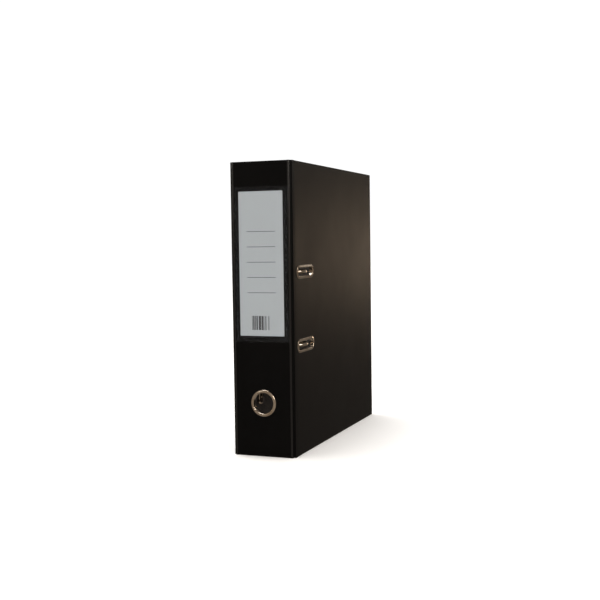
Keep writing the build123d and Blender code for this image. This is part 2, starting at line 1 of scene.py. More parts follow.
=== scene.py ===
# %% [markdown]
# # A lever-arch file, dressed for rendering
# The construction model is loaded as a fixed frame. Everything below is made around it
# in the same place and at the same size, so nothing is ever fitted by eye. The numbers
# in this lesson are millimetres until the moment that a mesh is made.

# %% The fixed frame
import math

import bmesh
import bpy
import numpy as np
from mathutils import Matrix, Vector


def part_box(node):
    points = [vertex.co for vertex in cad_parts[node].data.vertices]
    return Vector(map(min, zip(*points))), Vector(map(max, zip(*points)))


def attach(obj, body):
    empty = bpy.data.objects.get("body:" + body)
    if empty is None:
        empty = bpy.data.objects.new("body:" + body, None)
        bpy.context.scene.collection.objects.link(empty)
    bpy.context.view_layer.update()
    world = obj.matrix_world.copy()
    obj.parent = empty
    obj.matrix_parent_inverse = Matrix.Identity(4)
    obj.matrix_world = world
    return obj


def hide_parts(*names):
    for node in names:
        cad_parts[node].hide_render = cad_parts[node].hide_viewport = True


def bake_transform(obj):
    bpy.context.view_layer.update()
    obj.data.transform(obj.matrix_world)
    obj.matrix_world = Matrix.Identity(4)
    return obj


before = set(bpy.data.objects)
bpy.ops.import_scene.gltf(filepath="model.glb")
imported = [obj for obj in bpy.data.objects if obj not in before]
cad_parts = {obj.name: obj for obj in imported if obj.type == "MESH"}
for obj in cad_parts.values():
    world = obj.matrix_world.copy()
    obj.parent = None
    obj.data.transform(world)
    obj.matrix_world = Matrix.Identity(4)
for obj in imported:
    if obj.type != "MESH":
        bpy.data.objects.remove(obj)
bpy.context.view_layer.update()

MM = 0.001

# %% [markdown]
# ## Where things are
# The makers of such a file work from two faces: the spine's outer face, from which they
# count depth towards the fore-edge, and the inner face of the back cover, from which
# they count rise. Two small functions turn these into the frame's own x and y.

# %% Depth and rise
HEIGHT, DEPTH, HALF = 318.0, 285.0, 36.0
PANEL = 2.6               # board, foil and lining together
COVER_START = 3.0         # depth at which the covers begin
SPINE_EDGE = 33.0
INNER_FACE = HALF - PANEL
MIDDLE = HEIGHT / 2


def box_mm(node):
    """Lowest and highest corner of a construction node, in millimetres."""
    low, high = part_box(node)
    return np.array(low) / MM, np.array(high) / MM


ORIGIN_DEPTH = DEPTH - box_mm("front_turn_in")[1][1]


def y_at(depth):
    """y is the depth less the depth of the frame's origin."""
    return depth - ORIGIN_DEPTH


def x_at(rise):
    """x is the rise above the back cover's inner face."""
    return rise - INNER_FACE


print("depth of the origin", round(ORIGIN_DEPTH, 3))

# %% [markdown]
# ## The camera
# The file stands upright and is seen from a little above and from the right of its
# spine, with a moderately long lens, so that the upright edges stay almost parallel.
# A camera looks along its own -Z, so it is tipped up, turned about the vertical, and
# rolled by less than a degree, as a hand-held camera is.

# %% Camera
def placed(name, data):
    """New object for a mesh, a lamp or a camera, linked to the scene."""
    made = bpy.data.objects.new(name, data)
    bpy.context.scene.collection.objects.link(made)
    return made


LENS, SENSOR = 59.24, 36.0
CAMERA_AT = (416.0, -1114.65, 231.6)
TURN, PITCH, ROLL = 20.94, -3.38, -0.8
lens = bpy.data.cameras.new("camera")
lens.lens, lens.sensor_width, lens.sensor_fit = LENS, SENSOR, "HORIZONTAL"
lens.clip_start, lens.clip_end = 0.01, 100
camera = placed("camera", lens)
camera.matrix_world = (Matrix.Translation([v * MM for v in CAMERA_AT])
                       @ Matrix.Rotation(math.radians(TURN), 4, "Z")
                       @ Matrix.Rotation(math.radians(90 + PITCH), 4, "X")
                       @ Matrix.Rotation(math.radians(ROLL), 4, "Z"))
bpy.context.scene.camera = camera
print("camera at", CAMERA_AT, "lens", LENS)

# %% [markdown]
# ## From arrays to meshes
# Every piece is a grid of points worked out as one numpy array: rows run one way over
# the surface, columns run round it. Neighbours are joined into quads, and the two open
# ends are closed with a face each or joined to one another. Points that fall together
# are merged, so that poles and seams are tight and every wall faces outwards.

# %% Grid to mesh
SHARP = math.radians(32)


def make_piece(name, points, material, ends="caps"):
    """Mesh from points[row, column]: quads between neighbours, columns closed round,
    and rows either joined in a loop or capped at both ends."""
    rows, columns = points.shape[:2]
    index = np.arange(rows * columns).reshape(rows, columns)
    here, there = index[:-1], index[1:]
    if ends == "loop":
        here, there = index, np.roll(index, -1, 0)
    quads = np.stack([here, np.roll(here, -1, 1), np.roll(there, -1, 1), there], -1)
    faces = quads.reshape(-1, 4).tolist()
    if ends == "caps":
        faces += [index[0][::-1].tolist(), index[-1].tolist()]
    mesh = bpy.data.meshes.new(name)
    mesh.from_pydata((points.reshape(-1, 3) * MM).tolist(), [], faces)
    shell = bmesh.new()
    shell.from_mesh(mesh)
    bmesh.ops.remove_doubles(shell, verts=shell.verts, dist=2e-6)
    bmesh.ops.dissolve_degenerate(shell, edges=shell.edges, dist=2e-6)
    bmesh.ops.recalc_face_normals(shell, faces=shell.faces)
    shell.to_mesh(mesh)
    shell.free()
    mesh.materials.append(material)
    mesh.shade_smooth()
    mesh.set_sharp_from_angle(angle=SHARP)
    return placed(name, mesh)


def fit(piece, body, slot, *nodes):
    """Let a finished piece move with its body and stand for its construction nodes."""
    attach(piece, body)
    if nodes:
        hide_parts(*nodes)
    print(piece.name, len(piece.data.vertices), "points on", body)


# %% [markdown]
# ## Curves
# Two kinds of line are enough for this object. A smooth curve passes through a handful
# of chosen points, which suits rolled edges. A wire or a bent sheet is better given by
# its corners and bend radii, which is how it is made on a bending machine.

# %% Smooth curves and bent lines
def smooth(knots, steps=8):
    """Catmull-Rom curve: each stretch is a cubic through its two ends whose slopes are
    half the distance between the neighbours on either side."""
    knots = np.asarray(knots, float)
    first, last = 2 * knots[0] - knots[1], 2 * knots[-1] - knots[-2]
    padded = np.vstack([first, knots, last])
    p0, p1, p2, p3 = (padded[i:len(padded) - 3 + i, None] for i in range(4))
    t = np.linspace(0, 1, steps, endpoint=False)[None, :, None]
    cubic = 0.5 * (2 * p1 + (p2 - p0) * t + (2 * p0 - 5 * p1 + 4 * p2 - p3) * t ** 2
                   + (3 * p1 - p0 - 3 * p2 + p3) * t ** 3)
    return np.vstack([cubic.reshape(-1, knots.shape[1]), knots[-1]])


def bent(corners, radii, steps=10):
    """Line through corners with each inner corner replaced by an arc: the centre lies
    on the corner's bisector at radius / cos(half the turn)."""
    corners = np.asarray(corners, float)
    radii = np.broadcast_to(np.asarray(radii, float), len(corners) - 2)[:, None]
    run = np.diff(corners, axis=0)
    run /= np.linalg.norm(run, axis=1)[:, None]
    before, after = run[:-1], run[1:]
    turn = np.arccos(np.clip((before * after).sum(1), -1, 1))[:, None]
    inward = after - before
    inward /= np.linalg.norm(inward, axis=1)[:, None]
    centre = corners[1:-1] + inward * radii / np.cos(turn / 2)
    reach = radii * np.tan(turn / 2)
    start = corners[1:-1] - before * reach - centre
    end = corners[1:-1] + after * reach - centre
    s = np.linspace(0, 1, steps)[None, :, None]
    angle = turn[:, None]
    arc = (np.sin((1 - s) * angle) * start[:, None] + np.sin(s * angle) * end[:, None])
    arc = centre[:, None] + arc / np.sin(angle)
    return np.vstack([corners[:1], arc.reshape(-1, corners.shape[1]), corners[-1:]])


def even(path, count):
    """The same line with points at equal distances along it."""
    length = np.concatenate([[0], np.cumsum(np.linalg.norm(np.diff(path, axis=0), axis=1))])
    at = np.linspace(0, length[-1], count)
    return np.stack([np.interp(at, length, column) for column in path.T], -1)


# %% [markdown]
# ## Plates with a hole
# Covers, eyelets, the base plate and the compressor bar are all flat plates, most with
# one hole. Such a plate is a ring: one direction goes round the outline, the other goes
# from the hole's rim over the front, round the edge and back over the rear. The edge is
# softened by an inset that follows a quarter circle.

# %% Outline of a plate
def border(low, high, soft, corner, inset, per_side=24, per_corner=6):
    """Points round a rectangle: an anchor on the rectangle shrunk by the corner radius,
    plus (corner radius - inset) times the outward direction. Sides that are not soft
    stay where they are."""
    run = np.linspace(0, 1, per_side)[:, None]
    turn = np.linspace(0, np.pi / 2, per_corner + 2)[1:-1]
    square = np.array([[0, 0], [1, 0], [1, 1], [0, 1], [0, 0]], float)
    anchors, angles = [], []
    for side in range(4):
        facing = (side - 1) * np.pi / 2
        anchors += [square[side] + run * (square[side + 1] - square[side]),
                    np.repeat(square[side + 1][None], per_corner, 0)]
        angles += [np.full(per_side, facing), facing + turn]
    anchor, angle = np.vstack(anchors), np.concatenate(angles)
    normal = np.round(np.stack([np.cos(angle), np.sin(angle)], -1), 9)
    soft = np.asarray(soft, float).reshape(2, 2)
    keeps = np.where(normal < 0, soft[:, 0], soft[:, 1])
    near = np.asarray(low) + corner * soft[:, 0]
    far = np.asarray(high) - corner * soft[:, 1]
    return near + anchor * (far - near) + (corner - inset) * normal * keeps


# %% Holes seen from their centre
def round_hole(radius):
    """The same distance in every direction."""
    return lambda c, s: np.full_like(c, radius)


def slot_hole(half, radius):
    """Flat sides at the radius, and round ends whose centres lie half a length out."""
    def reach(c, s):
        side = radius / np.maximum(np.abs(s), 1e-9)
        end = half * np.abs(c) + np.sqrt(np.maximum(radius ** 2 - (half * s) ** 2, 0))
        return np.where(side * np.abs(c) <= half, side, end)
    return reach


def window_hole(half_a, half_b):
    """Distance to the nearer pair of a rectangle's sides."""
    return lambda c, s: np.minimum(half_a / np.maximum(np.abs(c), 1e-9),
                                   half_b / np.maximum(np.abs(s), 1e-9))


def keyhole(radius, width, length):
    """A round hole, or the slit above it where that reaches further."""
    def reach(c, s):
        up = np.maximum(s, 1e-9)
        slit = np.minimum(length / up, width / np.maximum(np.abs(c), 1e-9))
        return np.where(s > 0, np.maximum(radius, slit), radius)
    return reach


# %% The plate itself
ALL_SOFT = ((1, 1), (1, 1))
GUARD = 0.5               # flat band before each rounded edge, so that shading stays flat


def plate(faces, low, high, soft, corner, edge, centre=None, hole=None, rim=0.0,
          steps=2, per_side=24, shape=None):
    """Grid of (a, b, height): front face, rounded edge, rear face, and the hole's wall.
    A quarter circle of radius edge gives inset edge*(1-sin) at height edge*(1-cos); a
    narrow flat band comes before it."""
    front, rear = faces
    way = np.sign(rear - front)
    quarter = np.linspace(0, np.pi / 2, 6)
    arc_in = np.concatenate([[1 + GUARD], 1 - np.sin(quarter)])
    arc_down = np.concatenate([[0], 1 - np.cos(quarter)])
    ring = np.stack([border(low, high, soft, corner, i * edge, per_side) for i in arc_in])
    if shape is not None:
        ring = shape(ring)
    middle = (ring[0].min(0) + ring[0].max(0)) / 2 if centre is None else np.asarray(centre)
    out = ring[-1] - middle
    ray = out / np.linalg.norm(out, axis=1)[:, None]
    reach = hole(*ray.T) if hole else np.linalg.norm(out, axis=1) * 0.05
    rims = np.stack([middle + ray * (reach + i * rim)[:, None] for i in arc_in])
    share = np.linspace(0, 1, steps + 1)[1:-1, None, None]
    field = rims[0] + share * (ring[0] - rims[0])
    flat = np.vstack([field, ring])
    down = np.concatenate([np.zeros(len(field)), arc_down * edge])
    hole_down = arc_down[::-1] * rim
    a_b = np.vstack([rims[::-1], flat, flat[::-1], rims])
    height = np.concatenate([front + way * hole_down, front + way * down,
                             rear - way * down[::-1], rear - way * hole_down[::-1]])
    if not hole:
        solid = slice(len(arc_in) - 1, 1 - len(arc_in))
        a_b, height = a_b[solid], height[solid]
    return a_b, np.broadcast_to(height[:, None], a_b.shape[:2])


def cover_points(grid):
    """Plate grid placed parallel to the covers: a is depth, b is z, height is x."""
    a_b, x = grid
    return np.stack([x, y_at(a_b[..., 0]), a_b[..., 1]], -1)


def spine_points(grid):
    """Plate grid placed parallel to the spine: a is x, b is z, height is depth."""
    a_b, depth = grid
    return np.stack([a_b[..., 0], y_at(depth), a_b[..., 1]], -1)


# %% [markdown]
# ## Turned, swept and folded shapes
# A ring, rivet, post or roller is a profile turned about an axis. A wire is a circle
# carried along a line. A tongue, lug or spring is a strip of sheet carried along a
# line, with its cut edges rounded as tumbling leaves them.

# %% Turned shapes
def turned(profile, at, axis, count=48):
    """Points of a profile (radius, distance along the axis) turned about the x or y axis
    through (x, depth, z)."""
    radius, along = np.asarray(profile, float).T[:, :, None]
    angle = np.linspace(0, 2 * np.pi, count, endpoint=False)
    side, up = radius * np.cos(angle), radius * np.sin(angle)
    along = np.broadcast_to(along, side.shape)
    x, depth, z = at
    if axis == "x":
        return np.stack([x + along, y_at(depth + side), z + up], -1)
    return np.stack([x + side, y_at(depth + along), z + up], -1)


# %% Wires
LOOK_UP = np.array([0.31, 0.67, 0.67])


def wire(path, radius, count=20):
    """Circle carried along a line of (x, depth, z). Its two directions are the part of a
    fixed slanting vector that is square to the line, and the cross product with it."""
    path = np.asarray(path, float)
    line = np.gradient(path, axis=0)
    line /= np.linalg.norm(line, axis=1)[:, None]
    first = LOOK_UP - (line @ LOOK_UP)[:, None] * line
    first /= np.linalg.norm(first, axis=1)[:, None]
    second = np.cross(line, first)
    angle = np.linspace(0, 2 * np.pi, count, endpoint=False)[None, :, None]
    radius = np.broadcast_to(radius, len(path))[:, None, None]
    points = path[:, None] + radius * (np.cos(angle) * first[:, None]
                                       + np.sin(angle) * second[:, None])
    points[..., 1] = y_at(points[..., 1])
    return points


# %% Strips of sheet
END_STEPS, ROUND_STEPS = 5, 7


def strip(path, low, high, thick, order="xdz"):
    """Sheet carried along a flat line. Each station is a rounded bar section, thick along
    the line's normal and from low to high across; near both ends it shrinks by a
    quarter circle, so that the cut ends are round too."""
    path = np.asarray(path, float)
    low, high = (np.broadcast_to(np.asarray(v, float), len(path)) for v in (low, high))
    line = np.gradient(path, axis=0)
    line /= np.linalg.norm(line, axis=1)[:, None]
    normal = np.stack([-line[:, 1], line[:, 0]], -1)
    half = thick / 2
    turn = np.linspace(0, np.pi / 2, END_STEPS)[:, None]
    shrink = np.concatenate([np.sin(turn[:, 0]), np.ones(len(path) - 2), np.cos(turn[:, 0])])
    start = path[0] + line[0] * (half * (1 - np.cos(turn)))
    end = path[-1] - line[-1] * (half * (1 - np.sin(turn)))
    path = np.vstack([start, path[1:-1], end])
    last = len(low) - 1
    station = np.concatenate([np.zeros(END_STEPS, int), np.arange(1, last), np.full(END_STEPS, last)])
    low, high, normal = low[station], high[station], normal[station]
    angle = np.linspace(0, np.pi, ROUND_STEPS)
    across = np.concatenate([np.cos(angle), -np.cos(angle)]) * half
    end_way = np.concatenate([np.sin(angle), -np.sin(angle)])
    at_high = np.concatenate([np.ones(ROUND_STEPS), np.zeros(ROUND_STEPS)])
    base = np.where(at_high, (high - half)[:, None], (low + half)[:, None])
    width = base + end_way * half * shrink[:, None]
    flat = path[:, None] + normal[:, None] * (across * shrink[:, None])[..., None]
    first, second = flat[..., 0], flat[..., 1]
    x, depth, z = {"xdz": (first, second, width), "xzd": (first, width, second),
                   "dzx": (width, first, second)}[order]
    return np.stack([x, y_at(depth), z], -1)


# %% [markdown]
# ## Materials
# Each finish is a Principled shader fed by a few texture nodes in Object coordinates,
# so that a pattern keeps its real size. Colours are written as the hex values of paint
# charts and turned to linear light by one function; one other function adds a node.

# %% Colour and node helpers
def linear(code, alpha=1.0):
    """sRGB hex to linear: c/12.92 below 0.04045, else ((c+0.055)/1.055) to the 2.4."""
    c = np.array([int(code[i:i + 2], 16) for i in (1, 3, 5)]) / 255
    c = np.where(c <= 0.04045, c / 12.92, ((c + 0.055) / 1.055) ** 2.4)
    return (*c.tolist(), alpha)


def add(tree, kind, inputs=None, **settings):
    """Add a node, set its own settings, and fill its inputs: a socket is linked and any
    other value is set."""
    made = tree.nodes.new("ShaderNode" + kind)
    for key, value in settings.items():
        setattr(made, key, value)
    for key, value in (inputs or {}).items():
        if isinstance(value, bpy.types.NodeSocket):
            tree.links.new(value, made.inputs[key])
        else:
            made.inputs[key].default_value = value
    return made


def new_material(name):
    """Empty node material; returns it with its tree and its Object coordinates."""
    made = bpy.data.materials.new(name)
    made.use_nodes = True
    made.node_tree.nodes.clear()
    place = add(made.node_tree, "TexCoord").outputs["Object"]
    return made, made.node_tree, place


def finish_material(tree, **inputs):
    """Principled shader with the given inputs, joined to the output."""
    sockets = {key.replace("_", " "): value for key, value in inputs.items()}
    shader = add(tree, "BsdfPrincipled", sockets)
    add(tree, "OutputMaterial", {"Surface": shader.outputs["BSDF"]})


def per_mm(size):
    """Texture scale that gives features of a size in millimetres."""
    return 1 / (size * MM)


# %% [markdown]
# Five steps come back in nearly every finish: noise of a given size, one sum, a value
# carried over to another range, a colour between two, and a bump of a given height.

# %% Steps that come back
def noise(tree, place, size, detail, **more):
    """Noise with features of a size in millimetres."""
    inputs = {"Vector": place, "Scale": per_mm(size), "Detail": detail, **more}
    return add(tree, "TexNoise", inputs).outputs["Fac"]


def calc(tree, operation, *values):
    """One sum on sockets and numbers."""
    return add(tree, "Math", dict(enumerate(values)), operation=operation).outputs["Value"]


def carry(tree, value, low, high, **more):
    """A value from 0 to 1 carried over to the range from low to high."""
    inputs = {"Value": value, "To Min": low, "To Max": high, **more}
    return add(tree, "MapRange", inputs).outputs["Result"]


def ramp(tree, value, low, dark, high, light):
    """Colour that runs from dark at the low value to light at the high one."""
    made = add(tree, "ValToRGB", {"Fac": value})
    stops = made.color_ramp.elements
    stops[0].position, stops[0].color = low, linear(dark)
    stops[1].position, stops[1].color = high, linear(light)
    return made.outputs["Color"]


def relief(tree, height, strength, distance, **more):
    """Bump whose full height is a distance in millimetres."""
    inputs = {"Height": height, "Strength": strength, "Distance": distance * MM, **more}
    return add(tree, "Bump", inputs).outputs["Normal"]


# %% [markdown]
# ### Polypropylene foil
# The outside is a thin extruded film glued over the board and rolled with a fine
# pebble. The eye sees a black that is never quite even: a soft sheen, broken by grain
# of about half a millimetre, and slow changes of gloss where hands have rubbed it. The
# edge between spine and hinge is rubbed the most, so its foil is the glossier of two.

# %% Black foil
def foil_material(name, dark, light, level, smooth_end, rough_end):
    """Foil that wanders slowly between two blacks and between two roughnesses."""
    made, tree, place = new_material(name)
    slow = noise(tree, place, 70, 3.0)
    pebble = add(tree, "TexVoronoi", {"Vector": place, "Scale": per_mm(0.8), "Randomness": 0.9},
                 feature="SMOOTH_F1")
    grain = calc(tree, "ADD", pebble.outputs["Distance"], noise(tree, place, 0.35, 2.0))
    board = relief(tree, noise(tree, place, 45, 1.0), 0.35, 0.5)
    finish_material(tree, Base_Color=ramp(tree, slow, 0.3, dark, 0.75, light),
                    Roughness=carry(tree, slow, smooth_end, rough_end), IOR=1.49,
                    Specular_IOR_Level=level, Normal=relief(tree, grain, 0.3, 0.05, Normal=board))
    return made


FOIL = foil_material("polypropylene_foil", "#040404", "#080707", 0.1, 0.36, 0.48)
PRESSED_FOIL = foil_material("pressed_hinge_foil", "#040404", "#080707", 0.6, 0.28, 0.36)
print("made", FOIL.name, PRESSED_FOIL.name)

# %% [markdown]
# ### Linen-embossed lining paper
# The inside is dark paper rolled between linen-patterned cylinders. Real threads stand
# 0.5 mm apart; they are drawn a little coarser, at 0.9 mm, so that they show. Two wave
# patterns at right angles, each bent by noise, give the irregular weave. One runs up the
# panel; the other runs along x + y, which is along x on the spine and along y on the
# covers, so that one material serves all three.

# %% Lining paper
THREAD = 0.9


def lining_material():
    """Two bent wave patterns at right angles, added, and shaded by slow slubs."""
    made, tree, place = new_material("linen_lining_paper")
    where = add(tree, "SeparateXYZ", {"Vector": place}).outputs
    along = calc(tree, "ADD", where["X"], where["Y"])
    flat = add(tree, "CombineXYZ", {"X": along, "Z": where["Z"]})
    bands = {"Vector": flat.outputs["Vector"], "Scale": per_mm(THREAD) / (2 * math.pi),
             "Distortion": 2.2, "Detail": 2.0, "Detail Scale": 1.5}
    warp = add(tree, "TexWave", bands, wave_type="BANDS", bands_direction="X")
    weft = add(tree, "TexWave", bands, wave_type="BANDS", bands_direction="Z")
    weave = calc(tree, "ADD", warp.outputs["Fac"], weft.outputs["Fac"])
    mixed = calc(tree, "MULTIPLY", weave, noise(tree, place, 5, 4.0))
    finish_material(tree, Base_Color=ramp(tree, mixed, 0.15, "#242121", 1.0, "#4a4443"),
                    Roughness=0.62, IOR=1.45, Specular_IOR_Level=0.3,
                    Normal=relief(tree, weave, 0.6, 0.12))
    return made


LINING = lining_material()
print("made", LINING.name)

# %% [markdown]
# ### Plated and pressed metals
# The rings, arches, posts and lever are nickel-plated steel: warm, bright and nearly
# mirror-like, with fine hairlines. The base plate is zinc-plated sheet with drawn
# streaks, and the carrier is yellow-passivated. All three keep the metal shader's
# default IOR and differ in tint, roughness and the length of their streaks.

# %% Metals
def metal_material(name, dark, light, low, high, streak, depth):
    """Metal whose tint and roughness follow noise stretched along z by the streak."""
    made, tree, place = new_material(name)
    drawn = add(tree, "Mapping", {"Vector": place, "Scale": (1, 1, 1 / streak)})
    grain = noise(tree, drawn.outputs["Vector"], 1.2, 5.0, Roughness=0.65)
    both = calc(tree, "MULTIPLY", grain, noise(tree, place, 9, 2.0))
    finish_material(tree, Base_Color=ramp(tree, both, 0.12, dark, 0.4, light), Metallic=1.0,
                    Roughness=carry(tree, both, low, high, **{"From Max": 0.5}),
                    Normal=relief(tree, grain, 0.25, depth))
    return made


NICKEL = metal_material("nickel_plate", "#b7a48f", "#e2d8ca", 0.07, 0.22, 4, 0.01)
ZINC = metal_material("zinc_plated_sheet", "#b3aca2", "#e6e2da", 0.22, 0.42, 12, 0.02)
BRASSY = metal_material("yellow_passivated_sheet", "#a87a43", "#d8b47c", 0.22, 0.38, 6, 0.02)
print("made", NICKEL.name, ZINC.name, BRASSY.name)

# %% [markdown]
# ### Lacquer and nylon
# The compressor bar is steel under a satin beige-grey lacquer, the leaf spring has a
# yellow lacquer and the rollers are moulded nylon. Lacquer is a smooth film over a
# faint orange peel; nylon is duller, with a slight mottle from the mould. The bare
# greyboard under the foil is made in the same way, very rough and with no coat.

# %% Lacquers and nylon
def coated_material(name, dark, light, rough, peel, depth, coat):
    """Coating mottled between two colours, whose roughness and bump follow its peel."""
    made, tree, place = new_material(name)
    skin = noise(tree, place, peel, 2.0)
    finish_material(tree, Base_Color=ramp(tree, noise(tree, place, 6, 4.0), 0.3, dark, 0.7, light),
                    Roughness=carry(tree, skin, rough - 0.06, rough + 0.06), IOR=1.5,
                    Coat_Weight=coat, Coat_Roughness=0.15, Normal=relief(tree, skin, 0.3, depth))
    return made


BAR_LACQUER = coated_material("beige_satin_lacquer", "#7e7162", "#94866f", 0.42, 0.7, 0.02, 0.2)
YELLOW = coated_material("yellow_spring_lacquer", "#c79b1e", "#e3c04a", 0.35, 0.8, 0.02, 0.3)
NYLON = coated_material("dark_moulded_nylon", "#1d1511", "#2c211b", 0.45, 1.0, 0.02, 0.0)
BOARD_PULP = coated_material("grey_board", "#8a847b", "#9d968b", 0.85, 0.3, 0.08, 0.0)
print("made", BAR_LACQUER.name, YELLOW.name, NYLON.name, BOARD_PULP.name)

# %% [markdown]
# ### The label and its print
# The label is smooth card with five ruled lines and, near its foot, a block of plain
# bars. The print is worked out from the position on the card: a line is where the
# height modulo the line spacing is small, and the bars are a random choice made anew
# every half millimetre across. It says nothing and stands for no number.

# %% Label card
LABEL_LOW, LABEL_HIGH = (v[[0, 2]] for v in box_mm("label_insert"))
FIRST_LINE, LINE_SPACING, LINE_HALF = 177.5, 16.4, 16.5
LINE_COUNT, INK_HALF, ROW_MARGIN = 5, 0.3, 2.0
BARS_LOW, BARS_HIGH = (-11.6, 137.4), (8.6, 152.6)
BAR_CELL, BARE_SHARE = 0.55, 0.34


def label_material():
    """Lines and bars, each 1 within its bounds and 0 outside, printed on the paper."""
    made, tree, place = new_material("printed_label_card")
    where = add(tree, "SeparateXYZ", {"Vector": place}).outputs
    x, z = where["X"], where["Z"]

    def band(value, low, high):
        """1 where the value lies between low and high: distance from their middle is
        less than half their difference."""
        return calc(tree, "COMPARE", value, (low + high) / 2 * MM, (high - low) / 2 * MM)

    def times(one, other):
        return calc(tree, "MULTIPLY", one, other)

    above = calc(tree, "SUBTRACT", z, (FIRST_LINE - LINE_SPACING / 2) * MM)
    folded = calc(tree, "MODULO", above, LINE_SPACING * MM)
    line = band(folded, LINE_SPACING / 2 - INK_HALF, LINE_SPACING / 2 + INK_HALF)
    last_line = FIRST_LINE + (LINE_COUNT - 1) * LINE_SPACING
    rows = band(z, FIRST_LINE - ROW_MARGIN, last_line + ROW_MARGIN)
    lines = times(times(line, rows), band(x, -LINE_HALF, LINE_HALF))
    toss = add(tree, "TexWhiteNoise", {"W": calc(tree, "SNAP", x, BAR_CELL * MM)},
               noise_dimensions="1D")
    chosen = calc(tree, "GREATER_THAN", toss.outputs["Value"], BARE_SHARE)
    bars = times(chosen, times(band(x, BARS_LOW[0], BARS_HIGH[0]), band(z, BARS_LOW[1], BARS_HIGH[1])))
    fibre = noise(tree, place, 0.4, 4.0)
    paper = ramp(tree, fibre, 0.2, "#a8b0b6", 0.8, "#b0b8be")
    printed = add(tree, "MixRGB", {"Fac": calc(tree, "MAXIMUM", lines, bars), "Color1": paper,
                                   "Color2": linear("#4a4d52")})
    finish_material(tree, Base_Color=printed.outputs["Color"], Roughness=0.55, IOR=1.45,
                    Normal=relief(tree, fibre, 0.15, 0.02))
    return made


LABEL = label_material()
print("made", LABEL.name)

# %% [markdown]
# ### Clear film
# The pocket is soft clear film, a quarter of a millimetre thick. Mostly the eye looks
# straight through it; it gives itself away by glints on its welds and a faint haze.
# The haze is the shader's alpha, raised where a mesh attribute marks the weld. There its
# grey paints lighter lines, a painted highlight on top of the welds' real reflections.

# %% Film
def film_material():
    """Nearly clear film, a little hazier on its welds, where the haze is partly a painted highlight."""
    made, tree, place = new_material("clear_pocket_film")
    weld = add(tree, "Attribute", attribute_name="weld").outputs["Fac"]
    ripple = noise(tree, place, 30, 1.0)
    # Alpha rises on the welds: its grey haze paints a highlight along them, and also lets more real
    # reflection through.
    finish_material(tree, Base_Color=linear("#585b5f"), Roughness=0.12, IOR=1.49,
                    Alpha=carry(tree, weld, 0.04, 0.08), Normal=relief(tree, ripple, 0.15, 0.2))
    return made


FILM = film_material()
print("made", FILM.name)

# %% [markdown]
# ## The three wrapped panels
# Each panel is greyboard with foil drawn round its edges and turned in by five
# millimetres, and a sheet of lining that covers the rest. The wrap is one closed skin.
# The side that meets the hinge is left square, because the foil runs on from there.
# The front cover has two slots, so its skin is made as two plates that meet half way
# up, each a ring round its own slot.

# %% Outer wraps
SKIN_IN = 0.18            # the turn-in lies this far below the lining's face
EDGE = 0.85               # radius of the wrapped edges
CORNER = 1.3
HINGE_END = 9.0           # depth at which a cover's skin takes over from the hinge
SPINE_END = 31.2
FREE = ((0, 1), (1, 1))   # square at the hinge, wrapped on the other three sides
LOWER, UPPER = ((0, 1), (1, 0)), ((0, 1), (0, 1))    # halves, also square where they meet

cover_faces = (HALF, INNER_FACE + SKIN_IN)
grid = plate((-HALF, -INNER_FACE - SKIN_IN), (HINGE_END, 0), (DEPTH, HEIGHT), FREE, CORNER, EDGE)
fit(make_piece("back_cover_wrap", cover_points(grid), FOIL), "back_cover", "black_foil",
    "back_covering", "back_turn_in")

SLOT_LOW, SLOT_HIGH = 14.5, 60.0
SLOT_HALF = 4.5
slot_centre = (SLOT_LOW + SLOT_HIGH) / 2
slot_reach = slot_hole((SLOT_HIGH - SLOT_LOW) / 2 - SLOT_HALF, SLOT_HALF + 0.7)
SLOTS = {"upper": 199.0, "lower": 119.0}
for name, soft, limits in (("lower", LOWER, (0, MIDDLE)), ("upper", UPPER, (MIDDLE, HEIGHT))):
    grid = plate(cover_faces, (HINGE_END, limits[0]), (DEPTH, limits[1]), soft, CORNER, EDGE,
                 centre=(slot_centre, SLOTS[name]), hole=slot_reach, per_side=60)
    fit(make_piece(f"front_cover_wrap_{name}", cover_points(grid), FOIL, "loop"), "front_cover",
        "black_foil", "front_covering", "front_turn_in")

RING_HEIGHT, RING_BORE = 58.0, 22.5
ring_reach = round_hole(RING_BORE / 2 + 1.1)
BETWEEN = ((0, 0), (1, 1))     # square at both hinges, wrapped at the foot and the top
grid = plate((0, PANEL - SKIN_IN), (-SPINE_END, 0), (SPINE_END, HEIGHT), BETWEEN, CORNER, EDGE,
             centre=(0, RING_HEIGHT), hole=ring_reach, per_side=60)
fit(make_piece("spine_wrap", spine_points(grid), FOIL, "loop"), "spine", "black_foil",
    "spine_covering", "spine_turn_in")

# %% [markdown]
# The lining sheets are laid over the turn-ins last, so their cut edge stands a hair
# above the foil. They are plates too, a fifth of a millimetre thick.

# %% Linings
TURN_IN = 5.0
SHEET_EDGE, SHEET_CORNER = 0.08, 0.6
LINING_END, SPINE_LINING_END = 4.2, 31.8
lining_faces = (INNER_FACE, INNER_FACE + SKIN_IN + 0.05)
grid = plate((-INNER_FACE, -INNER_FACE - SKIN_IN - 0.05), (LINING_END, TURN_IN),
             (DEPTH - TURN_IN, HEIGHT - TURN_IN), FREE, SHEET_CORNER, SHEET_EDGE)
fit(make_piece("back_cover_lining", cover_points(grid), LINING), "back_cover", "grey_lining",
    "back_lining")
for name, soft, limits in (("lower", LOWER, (TURN_IN, MIDDLE)),
                           ("upper", UPPER, (MIDDLE, HEIGHT - TURN_IN))):
    grid = plate(lining_faces, (LINING_END, limits[0]), (DEPTH - TURN_IN, limits[1]), soft,
                 SHEET_CORNER, SHEET_EDGE, centre=(slot_centre, SLOTS[name]), hole=slot_reach,
                 per_side=60)
    fit(make_piece(f"front_cover_lining_{name}", cover_points(grid), LINING, "loop"), "front_cover",
        "grey_lining", "front_lining")
grid = plate((PANEL, PANEL - SKIN_IN - 0.05), (-SPINE_LINING_END, TURN_IN),
             (SPINE_LINING_END, HEIGHT - TURN_IN), BETWEEN, SHEET_CORNER, SHEET_EDGE,
             centre=(0, RING_HEIGHT), hole=ring_reach, per_side=60)
